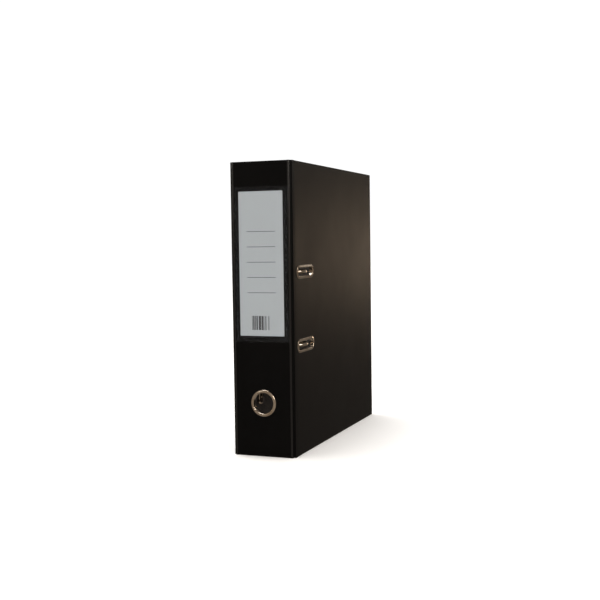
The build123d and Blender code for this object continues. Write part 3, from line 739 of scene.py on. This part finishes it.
fit(make_piece("spine_lining_sheet", spine_points(grid), LINING, "loop"), "spine", "grey_lining",
    "spine_lining")
for node in ("back_board", "spine_board", "front_board"):
    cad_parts[node].data.materials.clear()
    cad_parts[node].data.materials.append(BOARD_PULP)

# %% [markdown]
# The foil of the hinge runs on a few millimetres over the boards on both sides of it. At
# the top and the foot it is tucked over the boards' ends there, as small folded tabs.

# %% Tucked ends
TUCK = 0.9
for way, side in (("front", 1), ("back", -1)):
    for name, start in (("foot", 0.0), ("top", HEIGHT - TUCK)):
        grid = plate((side * (HALF - 0.22), side * (INNER_FACE + SKIN_IN)),
                     (COVER_START - 0.1, start), (HINGE_END + 0.8, start + TUCK), ALL_SOFT, 0.3,
                     0.25, per_side=4)
        fit(make_piece(f"{way}_cover_tuck_{name}", cover_points(grid), FOIL), f"{way}_cover",
            "black_foil")
        grid = plate((side * (SPINE_EDGE + 0.06), side * (SPINE_END - 0.5)), (0.1, start),
                     (PANEL - SKIN_IN, start + TUCK), ALL_SOFT, 0.3, 0.2, per_side=4)
        fit(make_piece(f"{way}_spine_tuck_{name}", cover_points(grid), FOIL), "spine", "black_foil")

# %% [markdown]
# ## The hinges
# Between spine and cover there is no board, only foil and lining pressed together into
# a groove. It is the one part that bends. Seen from above it is a curve: round the
# edge of the spine's board, down into the groove, and out over the edge of the cover's
# board. The curve is carried the whole height of the file and stays where it is made,
# joined to neither panel. The foil that turns round the spine's edge is the glossier
# one; it is picked out by the depth of each face's centre.

# %% Hinge foil and hinge lining
FOIL_CURVE = [(SPINE_END, 0), (32.0, 0.0), (32.5, 0.0), (32.83, 0.07), (33.07, 0.23),
              (33.23, 0.47), (33.3, 0.8), (33.32, 1.3), (33.5, 2.05), (34.0, 2.52), (34.7, 2.66),
              (35.35, 2.68), (35.7, 2.82), (35.84, 3.2), (35.87, 4.4), (35.91, 6.0),
              (35.97, 7.6), (HALF, HINGE_END)]
LINING_CURVE = [(SPINE_LINING_END, PANEL), (32.5, PANEL), (33.0, 2.62), (33.28, 2.74),
                (33.39, 3.0), (INNER_FACE, 3.5), (INNER_FACE, LINING_END)]
RUBBED_DEPTH = 1.1        # the glossy edge ends at this depth
FOIL_SHEET, LINING_SHEET = 0.24, 0.16


def hinge(name, side, knots, sheet, inward, low, high, material, node, bodies):
    """Closed strip whose visible face follows the curve: its middle line lies half a
    sheet below it, along the curve's normal."""
    curve = even(smooth(knots, 10), 48)
    line = np.gradient(curve, axis=0)
    line /= np.linalg.norm(line, axis=1)[:, None]
    middle = curve + inward * sheet / 2 * np.stack([-line[:, 1], line[:, 0]], -1)
    middle = middle * (side, 1)
    piece = make_piece(name, strip(middle, low, high, sheet), material)
    if material == FOIL:
        piece.data.materials.append(PRESSED_FOIL)
        centres = np.empty((len(piece.data.polygons), 3))
        piece.data.polygons.foreach_get("center", centres.ravel())
        rubbed = centres[:, 1] < y_at(RUBBED_DEPTH) * MM
        piece.data.polygons.foreach_set("material_index", rubbed.astype(np.int32))
    start = (side * SPINE_EDGE * MM, y_at(0) * MM, MIDDLE * MM)
    end = (side * HALF * MM, y_at(COVER_START) * MM, MIDDLE * MM)
    if side < 0:
        start, end = end, start
    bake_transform(piece)
    if node:
        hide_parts(node)
    print(name, len(piece.data.vertices), "points bend between", bodies)


for way, side, bodies in (("front", 1, ("spine", "front_cover")),
                          ("back", -1, ("back_cover", "spine"))):
    hinge(f"{way}_hinge_foil", side, FOIL_CURVE, FOIL_SHEET, 1, 0.02, HEIGHT - 0.02, FOIL,
          f"{way}_hinge_strip", bodies)
    hinge(f"{way}_hinge_lining", side, LINING_CURVE, LINING_SHEET, -1, 1, HEIGHT - 1, LINING,
          None, bodies)

# %% [markdown]
# ## The finger ring
# A nickel-plated ring is rolled through a round hole in the spine, so that a finger can
# pull the file from the shelf. Its section is a thin rolled lip that comes through the
# hole and curls over. The section is a closed curve, turned once about the hole.

# %% Finger ring and its washer
RING_SECTION = smooth([(11.25, 3.1), (11.25, 1.5), (11.25, 0.35), (11.38, -0.35), (11.9, -0.8),
                       (12.6, -0.9), (13.4, -0.74), (14.05, -0.42), (14.42, -0.12),
                       (14.5, -0.01)], 5)
RING_BACK = [(14.3, 0.0), (12.4, 0.0), (12.0, 0.3), (12.0, 3.3), (11.7, 3.4), (11.4, 3.35)]
ring = turned(np.vstack([RING_SECTION, RING_BACK]), (0, 0, RING_HEIGHT), "y", 96)
fit(make_piece("rolled_finger_ring", ring, NICKEL, "loop"), "spine", "nickel", "finger_ring")
WASHER_SECTION = smooth([(12.1, 2.62), (12.1, 3.2), (12.4, 3.38), (13.6, 3.38), (14.3, 3.1),
                         (14.5, 2.65)], 4)
washer = turned(np.vstack([WASHER_SECTION, [(14.4, 2.58)]]), (0, 0, RING_HEIGHT), "y", 96)
fit(make_piece("ring_back_washer", washer, NICKEL, "loop"), "spine", "nickel", "finger_ring_washer")

# %% [markdown]
# ## The slot eyelets
# When the file is shut, the crowns of the arches come up into two slots in the front
# cover and hold it closed. Each slot is lined with a nickel eyelet, rolled like the
# finger ring but carried round an oblong. The profile is given as the distance outwards
# from the opening and the height above the cover.

# %% Eyelets and their washers
def round_slot(profile, height, face, way):
    """Each profile point is an oblong round the opening, moved out by its first number
    and along x by its second."""
    low, high = (SLOT_LOW, height - SLOT_HALF), (SLOT_HIGH, height + SLOT_HALF)
    a_b = np.stack([border(low, high, ALL_SOFT, SLOT_HALF, -out, 16, 20) for out, _ in profile])
    x = np.array([face + way * up for _, up in profile])[:, None]
    return cover_points((a_b, np.broadcast_to(x, a_b.shape[:2])))


EYELET_SECTION = smooth([(0, -2.9), (0, -1.2), (0, 0.1), (0.12, 0.55), (0.5, 0.86), (1.0, 0.88),
                         (1.6, 0.66), (2.3, 0.42), (2.8, 0.25), (3.0, 0.05)], 5)
EYELET_BACK = [(2.85, 0.0), (0.9, 0.0), (0.5, -0.3), (0.5, -3.1), (0.3, -3.2), (0.08, -3.1)]
FRAME_SECTION = smooth([(0.6, 0.05), (0.65, 0.45), (0.95, 0.58), (2.2, 0.58), (2.8, 0.4),
                        (3.0, 0.05)], 4)
for name, height in SLOTS.items():
    eyelet = round_slot(np.vstack([EYELET_SECTION, EYELET_BACK]), height, HALF, 1)
    fit(make_piece(f"{name}_rolled_eyelet", eyelet, NICKEL, "loop"), "front_cover", "nickel",
        f"{name}_slot_eyelet")
    inner_profile = np.vstack([FRAME_SECTION, [(2.9, -0.03), (0.7, -0.03)]])
    inner = round_slot(inner_profile, height, INNER_FACE, -1)
    fit(make_piece(f"{name}_eyelet_frame", inner, NICKEL, "loop"), "front_cover", "nickel",
        f"{name}_slot_washer")

# %% [markdown]
# ## Label and pocket
# The pocket is welded to the spine down both sides and along the foot. A weld is a
# shallow trough with a small lip beside it, and the film rises between the welds to
# make room for the card. All of this is one height field: the distance from the edge
# decides how far the film stands off the spine.

# %% Label card
grid = plate((-0.24, -0.03), LABEL_LOW, LABEL_HIGH, ALL_SOFT, 0.8, 0.06)
fit(make_piece("ruled_label_card", spine_points(grid), LABEL), "spine", "label_card", "label_insert")

# %% Pocket film
FILM_SHEET = 0.09
WELD_AT, WELD_HALF = 2.3, 0.7
film_low, film_high = (v[[0, 2]] for v in box_mm("label_pocket"))


def crowded(low, high, count):
    """Values from low to high that lie closer together near both ends."""
    t = np.linspace(0, 1, count)
    return low + (high - low) * (t - 0.8 * np.sin(2 * np.pi * t) / (2 * np.pi))


def rise(t):
    """Smooth step: 3t^2 - 2t^3 between 0 and 1."""
    t = np.clip(t, 0, 1)
    return t * t * (3 - 2 * t)


def film_shape(a, b):
    """Height off the spine and weld mark, from the distance to the welded edges."""
    edge = np.minimum(np.minimum(a - film_low[0], film_high[0] - a), b - film_low[1])
    weld = np.exp(-((edge - WELD_AT) / WELD_HALF) ** 2)
    lip = 0.07 * rise(edge / 0.5)
    return 0.12 + lip - 0.08 * weld + 0.28 * rise((edge - 3.6) / 1.6), weld


def film_piece():
    """Two sheets of the same height field, one above the other, joined at the rim."""
    a, b = np.meshgrid(crowded(film_low[0], film_high[0], 90),
                       crowded(film_low[1], film_high[1], 160), indexing="ij")
    top, weld = film_shape(a, b)
    rows, columns = a.shape
    front = np.stack([a, y_at(-top), b], -1).reshape(-1, 3)
    back = np.stack([a, y_at(FILM_SHEET - top), b], -1).reshape(-1, 3)
    index = np.arange(rows * columns).reshape(rows, columns)
    quads = np.stack([index[:-1, :-1], index[1:, :-1], index[1:, 1:], index[:-1, 1:]], -1)
    quads = quads.reshape(-1, 4)
    rim = np.concatenate([index[0, :-1], index[:-1, -1], index[-1, :0:-1], index[:0:-1, 0]])
    after, below = np.roll(rim, -1), rows * columns
    wall = np.stack([rim, after, after + below, rim + below], -1)
    mesh = bpy.data.meshes.new("welded_label_pocket")
    mesh.from_pydata((np.vstack([front, back]) * MM).tolist(), [],
                     np.vstack([quads, quads[:, ::-1] + below, wall]).tolist())
    # The weld mark also drives the film's painted highlight along the welds.
    mark = mesh.attributes.new("weld", "FLOAT", "POINT")
    mark.data.foreach_set("value", np.tile(weld.ravel(), 2).astype(np.float32))
    mesh.materials.append(FILM)
    mesh.shade_smooth()
    mesh.set_sharp_from_angle(angle=SHARP)
    return placed("welded_label_pocket", mesh)


fit(film_piece(), "spine", "clear_film", "label_pocket")

# %% [markdown]
# ## The base plate
# Everything that works the arches stands on one pressed plate riveted to the back
# cover. It has a window under the rollers, stiffening ribs pressed up from below, two
# lugs rolled round the arch shaft, and a tongue rolled round the lever's cross wire.

# %% Plate
PLATE_LOW, PLATE_HIGH = (20.5, 109.5), (66.0, 208.5)
WINDOW_CENTRE, WINDOW_HALF = (36.5, 153.0), (12.5, 12.0)
PLATE_SHEET = 1.0
grid = plate((x_at(PLATE_SHEET), x_at(0.0)), PLATE_LOW, PLATE_HIGH, ALL_SOFT, 6.0, 0.4,
             centre=WINDOW_CENTRE, hole=window_hole(*WINDOW_HALF), rim=0.3, per_side=48)
fit(make_piece("pressed_base_plate", cover_points(grid), ZINC, "loop"), "back_cover", "zinc_steel",
    "base_plate")

# %% Ribs
RIB_LINES = {
    "rib_top": ([(33, 198), (47, 198), (47, 189), (33, 189)], 3.5),
    "rib_hook": ([(29, 182), (36, 182), (36, 173), (44, 173), (44, 184), (51, 184)], 3.8),
    "rib_side": ([(52, 181), (52, 136), (46, 128)], 3.0),
    "rib_foot": ([(29, 134), (36, 134), (44, 120), (52, 120)], 4.0),
}
for name, (corners, radius) in RIB_LINES.items():
    flat = even(bent(corners, radius), 60)
    taper = 0.9 * np.sqrt(rise(np.minimum(np.arange(60), np.arange(60)[::-1]) / 4 + 0.05))
    line = np.column_stack([np.full(60, x_at(PLATE_SHEET - 0.25)), flat])
    fit(make_piece(name, wire(line, taper, 16), ZINC), "back_cover", "zinc_steel")

# %% Shaft lugs and lever tongue
SHAFT_DEPTH, SHAFT_RISE = 18.0, 7.5
LUG_SHEET = 1.2
SHAFT_BEARING, PIVOT_BEARING = 2.06, 1.33      # inner radii of the rolled bearings
round_shaft = np.linspace(-0.5 * np.pi, 1.35 * np.pi, 30)
curl = SHAFT_BEARING + LUG_SHEET / 2
lug_curl = np.stack([x_at(SHAFT_RISE) - curl * np.cos(round_shaft + np.pi / 2),
                     SHAFT_DEPTH - curl * np.sin(round_shaft + np.pi / 2)], -1)
LUG_FOOT = [(x_at(0.6), 26.0), (x_at(0.6), 17.4), (x_at(2.2), SHAFT_DEPTH - curl),
            (x_at(5.0), SHAFT_DEPTH - curl)]
lug_line = np.vstack([bent(LUG_FOOT, 0.9), lug_curl[9:]])
for name, height in (("upper", 186.0), ("lower", 132.0)):
    piece = make_piece(f"{name}_shaft_lug", strip(lug_line, height - 3, height + 3, LUG_SHEET), ZINC)
    fit(piece, "back_cover", "zinc_steel")

LEVER_DEPTH, LEVER_RISE, LEVER_PIVOT = 39.0, 13.0, 147.0
TONGUE_SHEET = 1.2
hook = PIVOT_BEARING + TONGUE_SHEET / 2
over = np.linspace(np.pi, -0.35 * np.pi, 24)
tongue_curl = np.stack([x_at(LEVER_RISE) + hook * np.sin(over),
                        LEVER_PIVOT + hook * np.cos(over)], -1)
TONGUE_FOOT = [(x_at(0.5), 138.0), (x_at(0.5), LEVER_PIVOT - hook),
               (x_at(LEVER_RISE - 2), LEVER_PIVOT - hook)]
tongue_line = np.vstack([bent(TONGUE_FOOT, 2.0), tongue_curl])
tongue = strip(tongue_line, LEVER_DEPTH - 2, LEVER_DEPTH + 2, TONGUE_SHEET, "xzd")
fit(make_piece("lever_tongue", tongue, ZINC), "back_cover", "zinc_steel")

# %% [markdown]
# ## Rivets and posts
# Two semi-tubular rivets hold the plate down, each with a hollow in its rolled head,
# and two posts take the paper. A post is riveted too, so its shank comes out on the
# back cover's outer face under a low domed head. Each is one profile turned about x.

# %% Turned hardware
OUTER_DOME = smooth([(0.02, -0.9), (1.5, -0.86), (3.2, -0.62), (4.25, -0.22), (4.5, -0.02)], 5)
outer_head = OUTER_DOME + (0, -HALF)
RIVET_DEPTH = 27.5
RIVET_HEAD = [(2.0, x_at(PLATE_SHEET) + 0.02), (3.3, x_at(PLATE_SHEET) + 0.02)]
rivet_top = smooth([(3.5, 1.2), (3.35, 1.75), (2.7, 2.08), (1.9, 1.95), (1.35, 1.55), (1.2, 1.1),
                    (0.02, 1.0)], 5)
rivet_profile = np.vstack([outer_head, [(2.0, -HALF + 0.05)], RIVET_HEAD, rivet_top + (0, x_at(0))])
for name, height in (("upper", 203.0), ("lower", 115.0)):
    rivet = turned(rivet_profile, (0, RIVET_DEPTH, height), "x")
    fit(make_piece(f"{name}_tubular_rivet", rivet, NICKEL), "back_cover", "zinc_steel",
        "mechanism_rivets")

POST_DEPTH, POST_RADIUS, POST_TOP = 59.0, 2.2, 46.1
post_line = [(2.0, -HALF + 0.05), (2.0, x_at(PLATE_SHEET)), (3.35, x_at(PLATE_SHEET)), (3.6, x_at(1.25)),
             (3.6, x_at(1.7)), (3.3, x_at(1.98)), (2.35, x_at(2.0)), (POST_RADIUS, x_at(2.2)),
             (POST_RADIUS, x_at(POST_TOP - 0.25)), (2.05, x_at(POST_TOP - 0.02)), (1.95, x_at(POST_TOP)),
             (1.8, x_at(POST_TOP - 0.1)), (0.35, x_at(POST_TOP - 1.0)), (0.02, x_at(POST_TOP - 1.0))]
post_profile = np.vstack([outer_head, post_line])
for name, height in SLOTS.items():
    post = turned(post_profile, (0, POST_DEPTH, height), "x", 40)
    fit(make_piece(f"{name}_paper_post", post, NICKEL), "back_cover", "nickel", f"{name}_post")

# %% [markdown]
# ## The arches
# Both arches and the shaft between them are bent from one length of wire, four
# millimetres thick, with its two tips turned to cones that sit in the posts. The line
# is given by its corners; the crown's corners have a radius of half the span.

# %% Arch wire
ARCH_RADIUS, TIP_RADIUS = 2.0, 0.4
CROWN_X = HALF + 0.5 - ARCH_RADIUS
TIP_X = x_at(46.4)
CROWN_BEND = (POST_DEPTH - SHAFT_DEPTH) / 2 - 0.01
SHAFT_BEND = 5
high, low = SLOTS["upper"], SLOTS["lower"]
arch_corners = [(TIP_X + 1, POST_DEPTH, high), (CROWN_X, POST_DEPTH, high),
                (CROWN_X, SHAFT_DEPTH, high), (x_at(SHAFT_RISE), SHAFT_DEPTH, high),
                (x_at(SHAFT_RISE), SHAFT_DEPTH, low), (CROWN_X, SHAFT_DEPTH, low),
                (CROWN_X, POST_DEPTH, low), (TIP_X + 1, POST_DEPTH, low)]
arch_bends = [CROWN_BEND, CROWN_BEND, SHAFT_BEND, SHAFT_BEND, CROWN_BEND, CROWN_BEND]
arch_line = bent(arch_corners, arch_bends, 24)
tips = [(TIP_X, POST_DEPTH, high), (TIP_X, POST_DEPTH, low)]
arch_line = np.vstack([tips[:1], arch_line, tips[1:]])
arch_radius = np.full(len(arch_line), ARCH_RADIUS)
arch_radius[[0, -1]] = TIP_RADIUS
fit(make_piece("bent_arch_wire", wire(arch_line, arch_radius, 28), NICKEL), "arches", "nickel",
    "arch_wire")

# %% [markdown]
# The carrier is a sheet clamped on the shaft. Its wing reaches past the shaft and its
# flap lies under the roller, so that turning the lever turns the arches. A yellow leaf
# spring, bowed like a bracket, stands on the flap.

# %% Carrier, clamps and spring
CARRIER_SHEET = 1.1
CARRIER_LINE = [(x_at(10.5), 9.0), (x_at(10.5), 16.0), (x_at(10.9), SHAFT_DEPTH), (x_at(9.9), 20.4),
                (x_at(7.5), 21.35), (x_at(5.7), 21.9), (x_at(4.85), 23.2), (x_at(4.85), 29.5)]
carrier_line = even(smooth(CARRIER_LINE, 8), 64)
carrier_low = np.interp(carrier_line[:, 1], [9, 17.5, 21, 23], [144.3, 138.2, 138.2, 139.0])
carrier_high = np.interp(carrier_line[:, 1], [9, 17.5, 21.2, 24], [173.7, 179.8, 179.8, 165.0])
carrier = strip(carrier_line, carrier_low, carrier_high, CARRIER_SHEET)
fit(make_piece("formed_carrier", carrier, BRASSY), "arches", "brass_steel", "arch_carrier")
CLAMP_RADIUS, CLAMP_LENGTH, CLAMP_SHEET = 2.75, 8, 1.2
under = np.linspace(-0.62 * np.pi, 0.62 * np.pi, 24)
clamp_line = np.stack([x_at(SHAFT_RISE) - CLAMP_RADIUS * np.cos(under),
                       SHAFT_DEPTH - CLAMP_RADIUS * np.sin(under)], -1)
for name, start in (("upper", 171.0), ("lower", 139.0)):
    clamp = strip(clamp_line, start, start + CLAMP_LENGTH, CLAMP_SHEET)
    fit(make_piece(f"{name}_shaft_clamp", clamp, BRASSY), "arches", "brass_steel")

bow = np.linspace(-1, 1, 32)
SPRING_DEPTH, SPRING_BOW, SPRING_HALF, SPRING_SHEET = 22.75, 2.5, 10.5, 0.7
spring_line = np.stack([SPRING_DEPTH + SPRING_BOW * (1 - bow ** 2),
                        WINDOW_CENTRE[1] + SPRING_HALF * bow], -1)
spring = strip(spring_line, x_at(5.45), x_at(9.4), SPRING_SHEET, "dzx")
fit(make_piece("bowed_leaf_spring", spring, YELLOW), "arches", "yellow_spring", "leaf_spring")

# %% [markdown]
# ## The lever
# The lever is a hairpin of thinner wire. Its closed end is the cross wire in the
# plate's tongue, its legs close up towards the hand and end in a cast grip with an
# eye. The grip is a plate with a hole, so thick at the edge that it is fully round,
# and narrowed towards the top.

# %% Lever wire and grip
LEVER_WIRE = 2.5
lever_x = x_at(LEVER_RISE)
LEG = [(1.7, 69), (1.7, 122), (4, 136), (4, LEVER_PIVOT)]      # half the spread, height
lever_corners = ([(lever_x, LEVER_DEPTH - spread, z) for spread, z in LEG]
                 + [(lever_x, LEVER_DEPTH + spread, z) for spread, z in LEG[::-1]])
lever_line = bent(lever_corners, [12, 12, 1.6, 1.6, 12, 12], 12)
fit(make_piece("hairpin_lever_wire", wire(lever_line, LEVER_WIRE / 2, 20), NICKEL), "lever",
    "nickel", "lever_wire")


def drop(ring):
    """Outline narrowed with height: full width at the foot, two thirds at the top."""
    t = rise((ring[..., 1] - 56) / 20)
    a = LEVER_DEPTH + (ring[..., 0] - LEVER_DEPTH) * (1 - 0.34 * t)
    return np.stack([a, ring[..., 1]], -1)


GRIP_HALF, GRIP_THICK = 5.5, 5.0
GRIP_LOW, GRIP_HIGH = 50, 77
grid = plate((lever_x + GRIP_THICK / 2, lever_x - GRIP_THICK / 2),
             (LEVER_DEPTH - GRIP_HALF, GRIP_LOW), (LEVER_DEPTH + GRIP_HALF, GRIP_HIGH), ALL_SOFT,
             GRIP_HALF, 2.45, centre=(LEVER_DEPTH, 60.5), hole=slot_hole(0.01, 1.9), rim=1.2,
             steps=4, per_side=20, shape=drop)
fit(make_piece("eyed_lever_grip", cover_points(grid), NICKEL, "loop"), "lever", "nickel",
    "lever_grip")

# %% [markdown]
# ## Rollers
# Two nylon rollers turn on a pin under the lever's legs and press on the carrier's
# flap. A moulded roller has rounded rims and a shallow channel round its middle.

# %% Pin and rollers
roller_axis = (x_at(10.5), 0, 140.0)
PIN_PROFILE = [(0.02, 25.9), (2.0, 25.9), (2.2, 26.0), (2.2, 26.2), (1.25, 26.32),
               (1.25, 49.48), (2.2, 49.6), (2.2, 49.8), (2.0, 49.9), (0.02, 49.9)]
fit(make_piece("headed_roller_pin", turned(PIN_PROFILE, roller_axis, "y", 32), NICKEL), "lever",
    "nickel", "roller_pin")
for name, (near, far) in {"near": (26.4, 32.8), "far": (45.2, 49.4)}.items():
    half, mid = (far - near) / 2, (far + near) / 2
    rim_line = [(1.35, -half + 0.25), (1.6, -half), (3.9, -half), (4.35, -half + 0.15),
                (4.5, -half + 0.55), (4.5, -0.9), (4.3, -0.6), (4.3, 0.6), (4.5, 0.9),
                (4.5, half - 0.55), (4.35, half - 0.15), (3.9, half), (1.6, half),
                (1.35, half - 0.25)]
    profile = np.array(rim_line) + (0, mid)
    fit(make_piece(f"{name}_nylon_roller", turned(profile, roller_axis, "y", 56), NYLON, "loop"),
        f"{name}_roller", "black_roller", f"{name}_roller")

# %% [markdown]
# ## The compressor bar
# A flat lacquered bar slides on the posts and holds the paper down. Each post passes
# through a keyhole, whose slit lets the bar be tilted and gripped. The bar is pressed
# with a crease across its middle, so it is made as two plates that meet there, each a
# ring round its own keyhole.

# %% Bar
BAR_LOW, BAR_MIDDLE, BAR_HIGH = 102.5, 168.0, 233.5
BAR_DEPTHS = (51.5, 66.5)
bar_faces = (x_at(5.0), x_at(3.0))
for name, (start, end) in {"lower": (BAR_LOW, BAR_MIDDLE), "upper": (BAR_MIDDLE, BAR_HIGH)}.items():
    grid = plate(bar_faces, (BAR_DEPTHS[0], start), (BAR_DEPTHS[1], end), ALL_SOFT, 3.0, 0.45,
                 centre=(POST_DEPTH, SLOTS[name]), hole=keyhole(2.55, 1.0, 16.2), rim=0.2, per_side=80)
    fit(make_piece(f"{name}_compressor_half", cover_points(grid), BAR_LACQUER, "loop"), "compressor",
        "bar_steel", "compressor_bar")

# %% [markdown]
# ## Floor and light
# The file stands on a plain pale floor under soft light. A panel at the front left
# lights the spine, and a narrow one at the front right draws the bright line down the
# hinge's rubbed edge. Behind the file, a low warm panel lays a grazing sheen over the
# front cover and a higher one picks out the eyelets. A panel at each side and a wide,
# soft sun do the rest. The sky looks white, and lights more from the front than behind.

# %% Floor
floor_mesh = bpy.data.meshes.new("floor")
floor_mesh.from_pydata([(-8, -8, 0), (8, -8, 0), (8, 8, 0), (-8, 8, 0)], [], [(0, 1, 2, 3)])
made, tree, place = new_material("matt_pale_floor")
tone = ramp(tree, noise(tree, place, 60, 3.0), 0.0, "#fafafa", 1.0, "#fdfdfc")
finish_material(tree, Base_Color=tone, Roughness=0.8)
floor_mesh.materials.append(made)
floor = placed("floor", floor_mesh)
floor.visible_glossy = False

# %% Lights
def panel_light(name, at, target, size, power, tint):
    """Rectangular soft light that faces a target: its -Z is turned to the line between."""
    light = bpy.data.lights.new(name, "AREA")
    light.shape, light.size, light.size_y = "RECTANGLE", *size
    light.energy, light.color = power, linear(tint)[:3]
    lamp = placed(name, light)
    lamp.location = at
    toward = Vector(target) - Vector(at)
    lamp.rotation_euler = toward.to_track_quat("-Z", "Y").to_euler()


panel_light("key_panel", (-1.5, -1.9, 1.3), (0, 0, 0.16), (0.9, 0.9), 2.4, "#fffaf2")
panel_light("crease_panel", (1.26, -1.72, 1.0), (0.03, -0.14, 0.2), (0.25, 0.8), 10, "#fff4e8")
panel_light("sheen_panel", (0.36, 2.7, 0.19), (0.03, 0.1, 0.15), (0.4, 0.36), 2.4, "#ffe0c0")
panel_light("rim_panel", (0.4, 2.6, 0.8), (0.03, 0, 0.15), (0.8, 0.3), 0.9, "#fff6ea")
for name, side in (("right", 1), ("left", -1)):
    panel_light(f"{name}_side_panel", (2.4 * side, 0.5, 1.3), (0.03 * side, 0, 0.16), (1.0, 1.0),
                16, "#fff8f0")
sun = bpy.data.lights.new("even_light", "SUN")
sun.energy, sun.angle = 3.4, math.radians(50)
placed("even_light", sun).rotation_euler = (math.radians(-5), math.radians(-6), 0)

# %% Sky
world = bpy.data.worlds.new("studio")
bpy.context.scene.world = world
world.use_nodes = True
sky = world.node_tree
sky.nodes.clear()
seen = add(sky, "Background", {"Color": (1, 1, 1, 1), "Strength": 1.05})
toward = add(sky, "SeparateXYZ", {"Vector": add(sky, "TexCoord").outputs["Generated"]})
strength = carry(sky, toward.outputs["Y"], 0.3, 0.16, **{"From Min": -0.5, "From Max": 0.5})
fill = add(sky, "Background", {"Color": linear("#fff0e0"), "Strength": strength})
ray = add(sky, "LightPath")
mixed = add(sky, "MixShader", {0: ray.outputs["Is Camera Ray"], 1: fill.outputs[0],
                               2: seen.outputs[0]})
add(sky, "OutputWorld", {"Surface": mixed.outputs[0]})
bpy.context.scene.view_settings.view_transform = "Standard"
